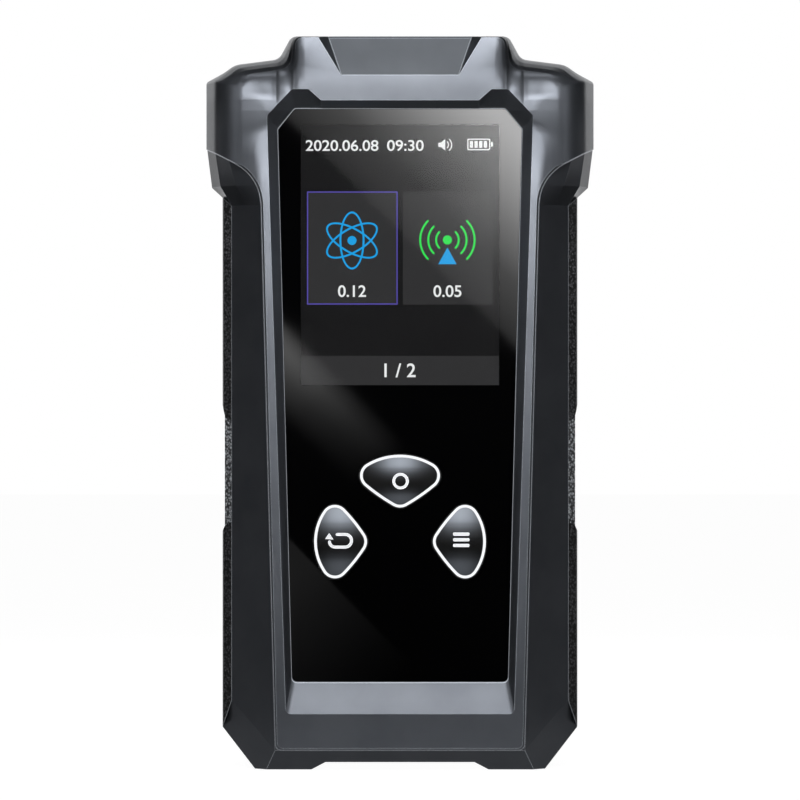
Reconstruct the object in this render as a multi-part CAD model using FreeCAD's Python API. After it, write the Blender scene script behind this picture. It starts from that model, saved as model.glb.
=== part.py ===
import FreeCAD, Part
import math
import os
from FreeCAD import Vector

# Hand-held radiation meter: a broad sensor head on a slimmer body, a glass window over a
# colour display and three keys, and a moulded case in two halves.
# Millimetres. +Z is up, the display faces -Y, and the origin is on the ground below the middle.

# ---- Case ----
CASE_HEIGHT = 136.0
HEAD_HALF = 36.25
BODY_INSET = 4.95
FRONT_Y = -15.0
PARTING_Y = -1.0
BODY_BACK_Y = 13.0
HEAD_BACK_Y = 15.0
WALL = 2.0
FIT = 0.15

# ---- Sensor head: drops are from the top, insets from the widest side ----
SHOULDER_DROP = 4.05
SHOULDER_END_DROP = 5.1
HEAD_CORNER_DROP = 8.1
HEAD_TOP_INSET = 15.95
SHOULDER_START_INSET = 13.65
SHOULDER_END_INSET = 5.45
SIDE_ROUND_WIDTH = 6.0
SIDE_ROUND_DEPTH = 7.0
SHOULDER_ROUND = 3.0
TOP_ROUND = 0.5
SIDE_DRAFT = 1.35
REAR_ROUND_WIDTH = 5.0
REAR_ROUND_DEPTH = 5.0
ROUND_STEPS = 5
HEAD_CORNER_ROUND = 0.8
SHOULDER_END_ROUND = 4.0
SHOULDER_START_ROUND = 2.2
HEAD_TOP_ROUND = 1.4
HEAD_CORNER_LAG = 0.6
SHOULDER_END_TUCK = 3.2
HEAD_TOP_TUCK = 1.1
ROUND_END_ANGLE = 75.0
HOLLOW_DRAFT = 1.3
HOLLOW_SHOULDER = 0.8

# ---- Neck between head and body ----
NECK_BOTTOM_DROP = 31.4
NECK_MIDDLE_DROP = 27.8
NECK_TOP_DROP = 20.6
NECK_MIDDLE_INSET = 1.05
NECK_LEDGE = 0.3
NECK_SPREAD = 0.6
HEAD_OVERLAP = 4.0

# ---- Bezel: head cover, two rails and a bottom bar in one moulding ----
BEZEL_THICKNESS = 2.6
BEZEL_BOTTOM_Z = 3.8
BEZEL_BOTTOM_INSET = 8.3
RAIL_TOP_INSET = 5.55
RAIL_TOP_DROP = 26.3
BEZEL_SWEEP_RADIUS = 9.0
BEZEL_CORNER = 1.0
BEZEL_EDGE_CHAMFER = 0.35
BEZEL_LEDGE = 0.12
HEAD_SPACE_DEPTH = 6.0

# ---- Recess round the glass ----
RECESS_DEPTH = 2.0
RECESS_BOTTOM_Z = 10.45
RECESS_CORNER = 0.8
RAIL_WIDTH_LOW = 1.9
RAIL_WIDTH_HIGH = 1.15
RECESS_TOP_DROP = 12.1
RECESS_SIDE_DROP = 14.9
EAR_RISE = 2.05
EAR_OUTER_INSET = 4.6
EAR_WIDTH = 3.1
EAR_ROOT_WIDTH = 2.3

# ---- Display window ----
GLASS_THICKNESS = 1.2
GLASS_BOTTOM_Z = 16.3
RECESS_SLOPE_LOW = 1.1
RECESS_SLOPE_HIGH = 2.0
GLASS_TOP_DROP = 13.6
GLASS_SIDE_DROP = 17.4
GLASS_CHAMFER_WIDTH = 3.1
GLASS_CORNER = 1.0
GASKET_THICKNESS = 0.2
GASKET_WIDTH = 1.6
DECK_THICKNESS = 1.2
VIEW_MARGIN = 0.8

# ---- Sensor window at the top of the head ----
SENSOR_TOP_INSET = 5.25
SENSOR_SIDE_SLOPE = 1.85
SENSOR_TAPER = 4.15
SENSOR_BOTTOM_DROP = 7.4
SENSOR_TOP_DROP = 0.55
SENSOR_DEPTH = 2.6
SENSOR_THICKNESS = 1.0
SENSOR_LEDGE = 1.8
SENSOR_POST_X = 12.4
SENSOR_POST_RADIUS = 1.4

# ---- Body bevels, feet and corners ----
BEVEL_FRONT_Y = -14.2
BEVEL_BACK_Y = -8.6
REAR_BEVEL_Y = 8.0
REAR_BEVEL_WIDTH = 4.8
FOOT_INSET = 6.15
FOOT_WIDTH = 10.55
FOOT_SLOPE = 2.6
FOOT_HEIGHT = 1.43
CORNER_SIDE_Z = 7.6
CORNER_BEVEL_Z = 12.7
CORNER_DEPTH = 3.6
REAR_FACET_Z = 3.0
BOTTOM_FACET_BACK_Y = -11.2

# ---- Side grips ----
GRIP_THICKNESS = 1.8
GRIP_EDGE_DEPTH = 1.4
GRIP_EDGE_SHARE = 0.85
WAIST_DEPTH = 0.5
WAIST_TOP_DROP = 68.4
WAIST_LENGTH = 23.5
WAIST_SLOPE = 2.0
INLAY_THICKNESS = 0.6
INLAY_MARGIN = 0.9
INLAY_TOP_MARGIN = 2.5
INLAY_SLOPE = 0.8

# ---- Display module ----
ACTIVE_INSET = 4.24
ACTIVE_TOP_DROP = 15.74
ACTIVE_HEIGHT = 48.96
LCD_BORDER_SIDE = 2.84
LCD_BORDER_BOTTOM = 6.5
LCD_BORDER_TOP = 1.6
LCD_GLASS = 1.1
BACKLIGHT_THICKNESS = 1.5
BACKLIGHT_INSET = 0.3
FLEX_HALF = 8.0
FLEX_THICKNESS = 0.3
FLEX_BEND = 1.6
FLEX_TAIL = 6.0
FLEX_DROP = 0.5

# ---- Main board ----
BOARD_THICKNESS = 1.6
BOARD_INSET = 8.1
BOARD_BOTTOM_Z = 5.2
BOARD_TOP_DROP = 19.0
BOARD_CORNER = 2.0
BOARD_GAP = 0.9
POST_RADIUS = 2.3
POST_BORE = 0.8
POST_BORE_DEPTH = 3.4
POST_INSET = 2.6
POST_LOW_Z = 30.0
POST_HIGH_DROP = 9.3

# ---- Keys ----
KEY_TRAVEL = 0.4
KEY_PROUD = 0.9
KEY_GAP = 0.3
KEY_RIM = 0.55
KEY_RIM_DROP = 0.4
KEY_CORNER = 2.0
KEY_SHOULDER = 0.3
KEY_SIDE_SWELL = 0.25
KEY_BOW = 2.9
KEY_DOME_RADIUS = 40.0
KEY_FLANGE = 0.8
KEY_FLANGE_THICKNESS = 0.6
KEY_FLANGE_GAP = 0.1
OK_KEY_HALF = 7.0
OK_KEY_REACH = 5.5
OK_KEY_DROP = 16.35
SIDE_KEY_HALF = 6.15
SIDE_KEY_REACH = 5.6
SIDE_KEY_DROP = 29.0
SIDE_KEY_PLACE = 0.623
SWITCH_SIZE = 5.2
SWITCH_HEIGHT = 2.0
SWITCH_FLOOR = 0.6
SWITCH_LEG = 0.9
SWITCH_LEG_WIDTH = 0.8
SWITCH_LEG_THICKNESS = 0.3
SWITCH_LEG_PLACE = 0.6
SWITCH_CLEARANCE = 0.1
SWITCH_PLUNGER_RADIUS = 1.1
PLUNGER_PROUD = 0.5
PUSHER_RADIUS = 2.0

# ---- Tube, sensors and sound ----
TUBE_RADIUS = 5.0
TUBE_OVERHANG = 1.8
TUBE_DROP = 25.5
TUBE_GAP = 1.5
TUBE_STEP = 0.3
TUBE_CAP_LENGTH = 4.0
TUBE_PIN_RADIUS = 0.9
TUBE_PIN_LENGTH = 2.0
CLIP_WIDTH = 3.0
CLIP_METAL = 0.4
CLIP_FOOT = 4.0
CLIP_MOUTH = 2.75
CLIP_SEAT = 4.0
SPEAKER_RADIUS = 7.5
SPEAKER_THICKNESS = 3.6
SPEAKER_DROP = 14.6
SPEAKER_X = -13.0
CONE_FRAME = 1.0
CONE_RADIUS = 2.0
CONE_DEPTH = 1.6
SOUND_HOLE_RADIUS = 0.6
SOUND_RING = 4.2
SOUND_RING_HOLES = 8
MOTOR_RADIUS = 4.0
MOTOR_THICKNESS = 2.7
MOTOR_AT = (-14.0, 13.0)
CAN_LEFT_X = 2.0
CAN_DROP = 17.0
CAN_SIZE = (16.0, 8.0)
CAN_HEIGHT = 2.5
SHEET_METAL = 0.3
TRANSFORMER_X = -16.0
TRANSFORMER_DROP = 34.5
TRANSFORMER_SIZE = 9.0
TRANSFORMER_HEIGHT = 7.5
TRANSFORMER_PLATE = 1.5
TRANSFORMER_COIL_RADIUS = 3.8
CAPACITOR_RADIUS = 2.2
CAPACITOR_HEIGHT = 6.0
CAPACITOR_DROP = 20.0
CAPACITORS_X = (-16.0, -10.0)
CHIP_DROP = 37.0
CHIPS = ((-5.0, 7.0, 0.9), (5.0, 5.0, 1.4), (14.0, 4.0, 1.0))
SENSOR_BOARD_HALF = 14.0
SENSOR_BOARD_DROP = 11.8
SENSOR_BOARD_HEIGHT = 8.6
SENSOR_BOARD_THICKNESS = 1.0
SENSOR_BOARD_CORNER = 1.0
SENSOR_BOARD_Y = -9.2
COIL_RADIUS = 2.4
COIL_CORE_RADIUS = 1.5
COIL_LENGTH = 14.0
CORE_OVERHANG = 3.0
USB_HALF = 4.47
USB_RADIUS = 1.6
USB_LENGTH = 7.3
USB_SINK = 0.3
USB_END = 1.2
USB_TONGUE = (3.3, 0.35, 0.8)

# ---- Battery ----
BATTERY_INSET = 6.2
BATTERY_THICKNESS = 10.0
BATTERY_BOTTOM_Z = 22.0
BATTERY_SPEAKER_GAP = 10.5
FOAM_THICKNESS = 1.0
FOAM_MARGIN = 3.0
CONNECTOR_AT = (12.0, 13.0)
CONNECTOR_SIZE = (8.0, 3.6, 5.2)
LEAD_RADIUS = 0.55
LEAD_SPACING = 3.0
LEAD_SIDES = 6

# ---- Screws ----
SCREW_INSET = 4.6
SCREW_LOW_Z = 20.0
SCREW_HIGH_DROP = 6.6
HEAD_SCREW_INSET = 7.25
HEAD_SCREW_DROP = 13.5
SCREW_HEAD_RADIUS = 1.9
SCREW_HEAD_HEIGHT = 1.4
SCREW_SHANK_RADIUS = 1.0
SCREW_LENGTH = 8.0
SCREW_SINK = 3.0
SCREW_END_ROOM = 1.0
BOARD_SCREW_LENGTH = 3.0
BOSS_RADIUS = 2.9
SEAL_THICKNESS = 0.4
SEAL_WIDTH = 1.0
SEAL_INSET = 0.8

# ---- Places worked out from the sizes above ----
BODY_HALF = HEAD_HALF - BODY_INSET
SHOULDER_Z = CASE_HEIGHT - SHOULDER_DROP
SHOULDER_END_Z = CASE_HEIGHT - SHOULDER_END_DROP
HEAD_CORNER_Z = CASE_HEIGHT - HEAD_CORNER_DROP
HEAD_TOP_HALF = HEAD_HALF - HEAD_TOP_INSET
SHOULDER_START_X = HEAD_HALF - SHOULDER_START_INSET
SHOULDER_END_X = HEAD_HALF - SHOULDER_END_INSET
NECK_BOTTOM_Z = CASE_HEIGHT - NECK_BOTTOM_DROP
NECK_MIDDLE_Z = CASE_HEIGHT - NECK_MIDDLE_DROP
NECK_TOP_Z = CASE_HEIGHT - NECK_TOP_DROP
NECK_MIDDLE_HALF = HEAD_HALF - NECK_MIDDLE_INSET
BEZEL_BOTTOM_HALF = BODY_HALF - BEZEL_BOTTOM_INSET
RAIL_TOP_HALF = BODY_HALF - RAIL_TOP_INSET
RAIL_TOP_Z = CASE_HEIGHT - RAIL_TOP_DROP
RECESS_BOTTOM_HALF = BEZEL_BOTTOM_HALF - RAIL_WIDTH_LOW
RECESS_TOP_HALF = RAIL_TOP_HALF - RAIL_WIDTH_HIGH
RECESS_TOP_Z = CASE_HEIGHT - RECESS_TOP_DROP
RECESS_SIDE_TOP_Z = CASE_HEIGHT - RECESS_SIDE_DROP
EAR_OUTER_HALF = RECESS_TOP_HALF - EAR_OUTER_INSET
EAR_INNER_HALF = EAR_OUTER_HALF - EAR_WIDTH
EAR_ROOT_HALF = EAR_INNER_HALF - EAR_ROOT_WIDTH
GLASS_BOTTOM_HALF = RECESS_BOTTOM_HALF - RECESS_SLOPE_LOW
GLASS_TOP_HALF = RECESS_TOP_HALF - RECESS_SLOPE_HIGH
GLASS_TOP_Z = CASE_HEIGHT - GLASS_TOP_DROP
GLASS_SIDE_TOP_Z = CASE_HEIGHT - GLASS_SIDE_DROP
GLASS_CHAMFER_HALF = GLASS_TOP_HALF - GLASS_CHAMFER_WIDTH
SENSOR_TOP_HALF = HEAD_TOP_HALF - SENSOR_TOP_INSET
SENSOR_FLOOR_HALF = SENSOR_TOP_HALF - SENSOR_SIDE_SLOPE
SENSOR_BOTTOM_HALF = SENSOR_TOP_HALF - SENSOR_TAPER
SENSOR_BOTTOM_Z = CASE_HEIGHT - SENSOR_BOTTOM_DROP
SENSOR_TOP_Z = CASE_HEIGHT - SENSOR_TOP_DROP
REAR_FLAT_HALF = BODY_HALF - REAR_BEVEL_WIDTH
GRIP_HALF = BODY_HALF + GRIP_THICKNESS
FOOT_OUTER_HALF = GRIP_HALF - FOOT_INSET
FOOT_INNER_HALF = FOOT_OUTER_HALF - FOOT_WIDTH
FOOT_ROOT_HALF = FOOT_INNER_HALF - FOOT_SLOPE
WAIST_TOP_Z = CASE_HEIGHT - WAIST_TOP_DROP
WAIST_BOTTOM_Z = WAIST_TOP_Z - WAIST_LENGTH
ACTIVE_HALF = GLASS_TOP_HALF - ACTIVE_INSET
ACTIVE_TOP_Z = CASE_HEIGHT - ACTIVE_TOP_DROP
ACTIVE_BOTTOM_Z = ACTIVE_TOP_Z - ACTIVE_HEIGHT
LCD_HALF = ACTIVE_HALF + LCD_BORDER_SIDE
BOARD_HALF = BODY_HALF - BOARD_INSET
BOARD_TOP_Z = CASE_HEIGHT - BOARD_TOP_DROP
POST_HIGH_Z = ACTIVE_BOTTOM_Z - POST_HIGH_DROP
TUBE_Z = CASE_HEIGHT - TUBE_DROP
TUBE_LENGTH = 2 * (BOARD_HALF + TUBE_OVERHANG)
SPEAKER_Z = NECK_BOTTOM_Z - SPEAKER_DROP
CAN_CORNER = (CAN_LEFT_X, BOARD_TOP_Z - CAN_DROP - CAN_SIZE[1])
TRANSFORMER_AT = (TRANSFORMER_X, BOARD_TOP_Z - TRANSFORMER_DROP)
CAPACITOR_Z = BOARD_TOP_Z - CAPACITOR_DROP
CHIP_Z = BOARD_TOP_Z - CHIP_DROP
SENSOR_BOARD_Z = CASE_HEIGHT - SENSOR_BOARD_DROP
BATTERY_HALF = BOARD_HALF - BATTERY_INSET
BATTERY_TOP_Z = SPEAKER_Z - SPEAKER_RADIUS - BATTERY_SPEAKER_GAP
SCREW_X = BODY_HALF - SCREW_INSET
SCREW_ROWS = (SCREW_LOW_Z, NECK_BOTTOM_Z - SCREW_HIGH_DROP)
HEAD_SCREW_X = HEAD_HALF - HEAD_SCREW_INSET
HEAD_SCREW_Z = CASE_HEIGHT - HEAD_SCREW_DROP
BEZEL_BACK_Y = FRONT_Y + BEZEL_THICKNESS
GLASS_FRONT_Y = FRONT_Y + RECESS_DEPTH
GLASS_BACK_Y = GLASS_FRONT_Y + GLASS_THICKNESS
DECK_FRONT_Y = GLASS_BACK_Y + GASKET_THICKNESS
DECK_BACK_Y = DECK_FRONT_Y + DECK_THICKNESS
LCD_BACK_Y = DECK_BACK_Y + LCD_GLASS
BACKLIGHT_BACK_Y = LCD_BACK_Y + BACKLIGHT_THICKNESS
BOARD_FRONT_Y = BACKLIGHT_BACK_Y + BOARD_GAP
BOARD_BACK_Y = BOARD_FRONT_Y + BOARD_THICKNESS
REAR_START_Y = PARTING_Y + SEAL_THICKNESS
KEY_FRONT_Y = GLASS_FRONT_Y - KEY_PROUD
KEY_FLANGE_Y = GLASS_BACK_Y + KEY_FLANGE_GAP
SWITCH_FRONT_Y = BOARD_FRONT_Y - SWITCH_HEIGHT
REAR_INNER_Y = BODY_BACK_Y - WALL
TOP_CLEAR_Z = CASE_HEIGHT + 4.0
TUBE_Y = BOARD_BACK_Y + TUBE_RADIUS + TUBE_GAP
BATTERY_FRONT_Y = REAR_INNER_Y - FOAM_THICKNESS - BATTERY_THICKNESS


# ---------------------------------------------------------------- drawing helpers

def mirrored(half):
    """A right-hand half outline, bottom to top, closed by its mirror image."""
    return list(half) + [(-x, *rest) for x, *rest in reversed(half)]


def plain(corners):
    """The same corners without their rounding."""
    return [(x, z, 0) for x, z, _ in corners]


def rounded_wire(corners, y):
    """Closed wire at depth y through (x, z, radius) corners."""
    bends = []
    for i, (x, z, radius) in enumerate(corners):
        here = Vector(x, y, z)
        before = Vector(corners[i - 1][0], y, corners[i - 1][1])
        after = Vector(corners[(i + 1) % len(corners)][0], y, corners[(i + 1) % len(corners)][1])
        arriving = (here - before).normalize()
        leaving = (after - here).normalize()
        half_turn = arriving.getAngle(leaving) / 2
        reach = radius * math.tan(half_turn)
        inward = leaving - arriving
        middle = here
        if radius:
            inward.normalize()
            middle = here + inward * (radius / math.cos(half_turn) - radius)
        bends.append((here - arriving * reach, middle, here + leaving * reach, radius))
    edges = []
    for i, (start, middle, end, radius) in enumerate(bends):
        edges.append(Part.LineSegment(bends[i - 1][2], start).toShape())
        if radius:
            edges.append(Part.Arc(start, middle, end).toShape())
    return Part.Wire(edges)


def slab(corners, front, back):
    """Solid between two depths with the given front outline."""
    return Part.Face(rounded_wire(corners, front)).extrude(Vector(0, back - front, 0))


def loft_back(sections, ruled):
    """Solid through outlines of equal corners at (y, corners) depths."""
    return Part.makeLoft([rounded_wire(corners, y) for y, corners in sections], True, ruled)


def loft_up(sections):
    """Solid through closed (x, y) polygons at (z, points) heights."""
    wires = []
    for z, points in sections:
        ring = [Vector(x, y, z) for x, y in points]
        wires.append(Part.makePolygon(ring + ring[:1]))
    return Part.makeLoft(wires, True, True)


def box(x_range, y_range, z_range):
    """Block between the given limits."""
    sizes = [high - low for low, high in (x_range, y_range, z_range)]
    return Part.makeBox(*sizes, Vector(x_range[0], y_range[0], z_range[0]))


def rod(radius, start, end):
    """Round bar between two points."""
    along = end - start
    return Part.makeCylinder(radius, along.Length, start, along)


def level_band(low, high):
    """Block wider and deeper than the case, between two heights."""
    reach = 2 * HEAD_HALF
    return box((-reach, reach), (-reach, reach), (low, high))


def beyond(a, b, c, outside):
    """Large block on the outside point's side of the plane through a, b and c."""
    normal = (b - a).cross(c - a).normalize()
    if normal.dot(outside - a) < 0:
        normal = -normal
    turn = FreeCAD.Rotation(Vector(0, 0, 1), normal)
    reach = 2 * CASE_HEIGHT
    block = Part.makeBox(2 * reach, 2 * reach, reach, Vector(-reach, -reach, 0))
    block.Placement = FreeCAD.Placement(a, turn)
    return block


def polyhedron(faces):
    """Solid bounded by flat faces, each a list of points."""
    sides = [Part.Face(Part.makePolygon(points + points[:1])) for points in faces]
    solid = Part.Solid(Part.Shell(sides))
    if solid.Volume < 0:
        solid.reverse()
    return solid


def both_sides(shape):
    """A right-hand shape joined with its mirror image."""
    return shape.fuse(shape.mirror(Vector(0, 0, 0), Vector(1, 0, 0)))


# ---------------------------------------------------------------- outlines of the case

def head_outline(side, shoulder, top, bottom_z):
    """Head outline drawn in by the given amounts at its sides, shoulders and top."""
    slant = shoulder / SHOULDER_ROUND
    return mirrored([
        (HEAD_HALF - side, bottom_z, 0),
        (HEAD_HALF - side, HEAD_CORNER_Z - HEAD_CORNER_LAG * shoulder, HEAD_CORNER_ROUND),
        (SHOULDER_END_X - SHOULDER_END_TUCK * slant, SHOULDER_END_Z - shoulder, SHOULDER_END_ROUND),
        (SHOULDER_START_X - SHOULDER_ROUND * slant, SHOULDER_Z - shoulder, SHOULDER_START_ROUND),
        (HEAD_TOP_HALF - HEAD_TOP_TUCK * slant, CASE_HEIGHT - top, HEAD_TOP_ROUND),
    ])


def roundover(edge_y, face_y, width, side_start, bottom_z):
    """Head outlines along an elliptical roundover from the flat face to its crisp edge."""
    sections = []
    whole = 1 - math.cos(math.radians(ROUND_END_ANGLE))
    for step in range(ROUND_STEPS + 1):
        angle = math.radians(ROUND_END_ANGLE * step / ROUND_STEPS)
        remaining = 1 - math.sin(angle)
        depth = face_y + (edge_y - face_y) * (1 - math.cos(angle)) / whole
        outline = head_outline(side_start + width * remaining, SHOULDER_ROUND * remaining,
                               TOP_ROUND * remaining, bottom_z)
        sections.append((depth, outline))
    return sections


def head_form(face_y, edge_y, end_y, width, bottom_z):
    """Full head solid from its flat face to the parting plane."""
    sections = roundover(edge_y, face_y, width, SIDE_DRAFT, bottom_z)
    crown = loft_back(sections, True)
    skirt = loft_back([sections[-1], (end_y, head_outline(0, 0, 0, bottom_z))], True)
    return crown.fuse(skirt)


def head_hollow(front_y, end_y, front_side, end_side, bottom_z):
    """Space inside the head between two depths, with plain corners."""
    front = head_outline(front_side, WALL + HOLLOW_SHOULDER, WALL, bottom_z)
    end = head_outline(end_side, WALL, WALL, bottom_z)
    return loft_back([(front_y, plain(front)), (end_y, plain(end))], True)


def bezel_outline(inset=0.0):
    """Head cover, swept lower edges, rails and bottom bar seen from the front."""
    slope = (NECK_TOP_Z - RAIL_TOP_Z) / (HEAD_HALF - RAIL_TOP_HALF)
    lift = inset * math.hypot(1, slope)
    outside = HEAD_HALF + 2
    return mirrored([
        (BEZEL_BOTTOM_HALF - inset, BEZEL_BOTTOM_Z + inset, BEZEL_CORNER),
        (RAIL_TOP_HALF - inset, RAIL_TOP_Z + lift - inset * slope, BEZEL_SWEEP_RADIUS),
        (outside, RAIL_TOP_Z + lift + slope * (outside - RAIL_TOP_HALF), 0),
        (outside, TOP_CLEAR_Z, 0),
    ])


def bezel_cutout(back):
    """Everything within the bezel's edges down to a depth, with its front edges broken."""
    broken = FRONT_Y + BEZEL_EDGE_CHAMFER
    edge = loft_back([(FRONT_Y, bezel_outline(BEZEL_EDGE_CHAMFER)), (broken, bezel_outline())], True)
    return edge.fuse(slab(bezel_outline(), broken, back))


def recess_outline():
    """Outer edge of the recess round the glass, with its two raised ears."""
    return mirrored([
        (RECESS_BOTTOM_HALF, RECESS_BOTTOM_Z, BEZEL_CORNER),
        (RECESS_TOP_HALF, RECESS_SIDE_TOP_Z, RECESS_CORNER),
        (EAR_OUTER_HALF, RECESS_TOP_Z + EAR_RISE, RECESS_CORNER),
        (EAR_INNER_HALF, RECESS_TOP_Z + EAR_RISE, 0),
        (EAR_ROOT_HALF, RECESS_TOP_Z, 0),
    ])


def glass_outline(grow=0.0):
    """Outline of the glass, grown evenly for pockets or drawn in for fits."""
    return mirrored([
        (GLASS_BOTTOM_HALF + grow, GLASS_BOTTOM_Z - grow, GLASS_CORNER),
        (GLASS_TOP_HALF + grow, GLASS_SIDE_TOP_Z, RECESS_CORNER),
        (GLASS_CHAMFER_HALF + 0.5 * grow, GLASS_TOP_Z + grow, RECESS_CORNER),
        (EAR_INNER_HALF, GLASS_TOP_Z + grow, 0),
        (EAR_ROOT_HALF, GLASS_TOP_Z + grow, 0),
    ])


def rail_half(z):
    """Half width across the rails at a height."""
    share = (z - BEZEL_BOTTOM_Z) / (RAIL_TOP_Z - BEZEL_BOTTOM_Z)
    return BEZEL_BOTTOM_HALF + share * (RAIL_TOP_HALF - BEZEL_BOTTOM_HALF)


def base_outline(half_width, inset=0.0):
    """Body outline from the front: feet, chamfered lower corners and straight sides."""
    return mirrored([
        (FOOT_ROOT_HALF + inset, FOOT_HEIGHT + inset, 0),
        (FOOT_INNER_HALF + inset, inset, 0),
        (FOOT_OUTER_HALF - 0.5 * inset, inset, 0),
        (GRIP_HALF, CORNER_SIDE_Z + 1.3 * inset, 0),
        (half_width + 5, CORNER_SIDE_Z + 1.3 * inset, 0),
        (half_width + 5, TOP_CLEAR_Z, 0),
    ])


# ---------------------------------------------------------------- case

def body_section(front_half, shelf_y, corner, bevel, side):
    """Front half of the body cut across, from the bezel edge round to the parting plane."""
    half = [(side, PARTING_Y), bevel, corner, (front_half, shelf_y)]
    return half + [(-x, y) for x, y in reversed(half)]


def front_form(inset=0.0):
    """Outside of the front shell, from the ground into the head."""
    low = rail_half(0) + BEZEL_LEDGE
    high = rail_half(NECK_BOTTOM_Z) + BEZEL_LEDGE
    front = BEVEL_FRONT_Y + inset
    middle_y = (BEVEL_FRONT_Y + BEVEL_BACK_Y) / 2 + 0.8 * inset
    side = BODY_HALF - inset
    neck = NECK_MIDDLE_HALF - inset
    head = HEAD_HALF - NECK_LEDGE / 2 - inset
    top = body_section(high + 2.2, front + 0.2, (head - 3.6, middle_y - 0.6),
                       (head - 1.6, BEVEL_BACK_Y + 0.8), head)
    straight = [
        (0, body_section(low, front, ((low + side) / 2, middle_y), (side, BEVEL_BACK_Y + 0.4 * inset), side)),
        (NECK_BOTTOM_Z, body_section(high, front, ((high + side) / 2, middle_y),
                                     (side, BEVEL_BACK_Y + 0.4 * inset), side)),
    ]
    flare = [
        (NECK_MIDDLE_Z, body_section(high + NECK_SPREAD, front, (neck - 4.8, middle_y - 0.3),
                                     (neck - 1.8, BEVEL_BACK_Y + 0.6), neck)),
        (NECK_TOP_Z, top),
        (NECK_TOP_Z + HEAD_OVERLAP, top),
    ]
    return loft_up(straight + flare)


def corner_cutters():
    """Facets that chamfer the front lower corners and the front lower edge."""
    low_z = BEZEL_BOTTOM_Z - BEZEL_LEDGE
    crease_low = Vector(rail_half(low_z) + BEZEL_LEDGE, BEVEL_FRONT_Y, low_z)
    crease_high = Vector(BODY_HALF, BEVEL_BACK_Y, CORNER_BEVEL_Z)
    outer = Vector(GRIP_HALF, BEVEL_BACK_Y + CORNER_DEPTH, CORNER_SIDE_Z)
    corner = beyond(crease_low, crease_high, outer, Vector(GRIP_HALF, FRONT_Y, 0))
    lower = Vector(0, BOTTOM_FACET_BACK_Y, 0)
    edge = beyond(Vector(0, BEVEL_FRONT_Y, low_z), Vector(10, BEVEL_FRONT_Y, low_z),
                  lower, Vector(0, FRONT_Y, 0))
    mirror_corner = corner.mirror(Vector(0, 0, 0), Vector(1, 0, 0))
    return [corner, mirror_corner, edge]


def rear_cutters():
    """Facets that chamfer the rear lower corners and the rear lower edge."""
    crease_low = Vector(REAR_FLAT_HALF - 2, BODY_BACK_Y, REAR_FACET_Z)
    crease_high = Vector(BODY_HALF, REAR_BEVEL_Y, CORNER_BEVEL_Z)
    outer = Vector(GRIP_HALF, REAR_BEVEL_Y - CORNER_DEPTH, CORNER_SIDE_Z)
    corner = beyond(crease_low, crease_high, outer, Vector(GRIP_HALF, BODY_BACK_Y, 0))
    edge = beyond(Vector(0, BODY_BACK_Y, REAR_FACET_Z), Vector(10, BODY_BACK_Y, REAR_FACET_Z),
                  Vector(0, BODY_BACK_Y - REAR_FACET_Z, 0), Vector(0, BODY_BACK_Y, 0))
    return [corner, corner.mirror(Vector(0, 0, 0), Vector(1, 0, 0)), edge]


def corner_blocks(front, back):
    """Full-width lower corners of the case that close the lower ends of the grips."""
    outline = [
        (BODY_HALF - WALL, CORNER_BEVEL_Z - 1, 0),
        (FOOT_OUTER_HALF - 1, FOOT_HEIGHT, 0),
        (FOOT_OUTER_HALF, 0, 0),
        (GRIP_HALF, CORNER_SIDE_Z, 0),
        (BODY_HALF, CORNER_BEVEL_Z, 0),
        (BODY_HALF - WALL / 2, CORNER_BEVEL_Z, 0),
    ]
    inner = FOOT_OUTER_HALF - 2
    profile = grip_profile(GRIP_THICKNESS)
    across = [(inner, BEVEL_BACK_Y)] + profile + [(inner, REAR_BEVEL_Y)]
    block = loft_up([(-1, across), (CORNER_BEVEL_Z + 1, across)]).common(slab(outline, front, back))
    return both_sides(block)


def case_screws_at():
    """Axes of the screws that close the case."""
    body = [(sign * SCREW_X, z) for z in SCREW_ROWS for sign in (-1, 1)]
    return body + [(-HEAD_SCREW_X, HEAD_SCREW_Z), (HEAD_SCREW_X, HEAD_SCREW_Z)]


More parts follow.
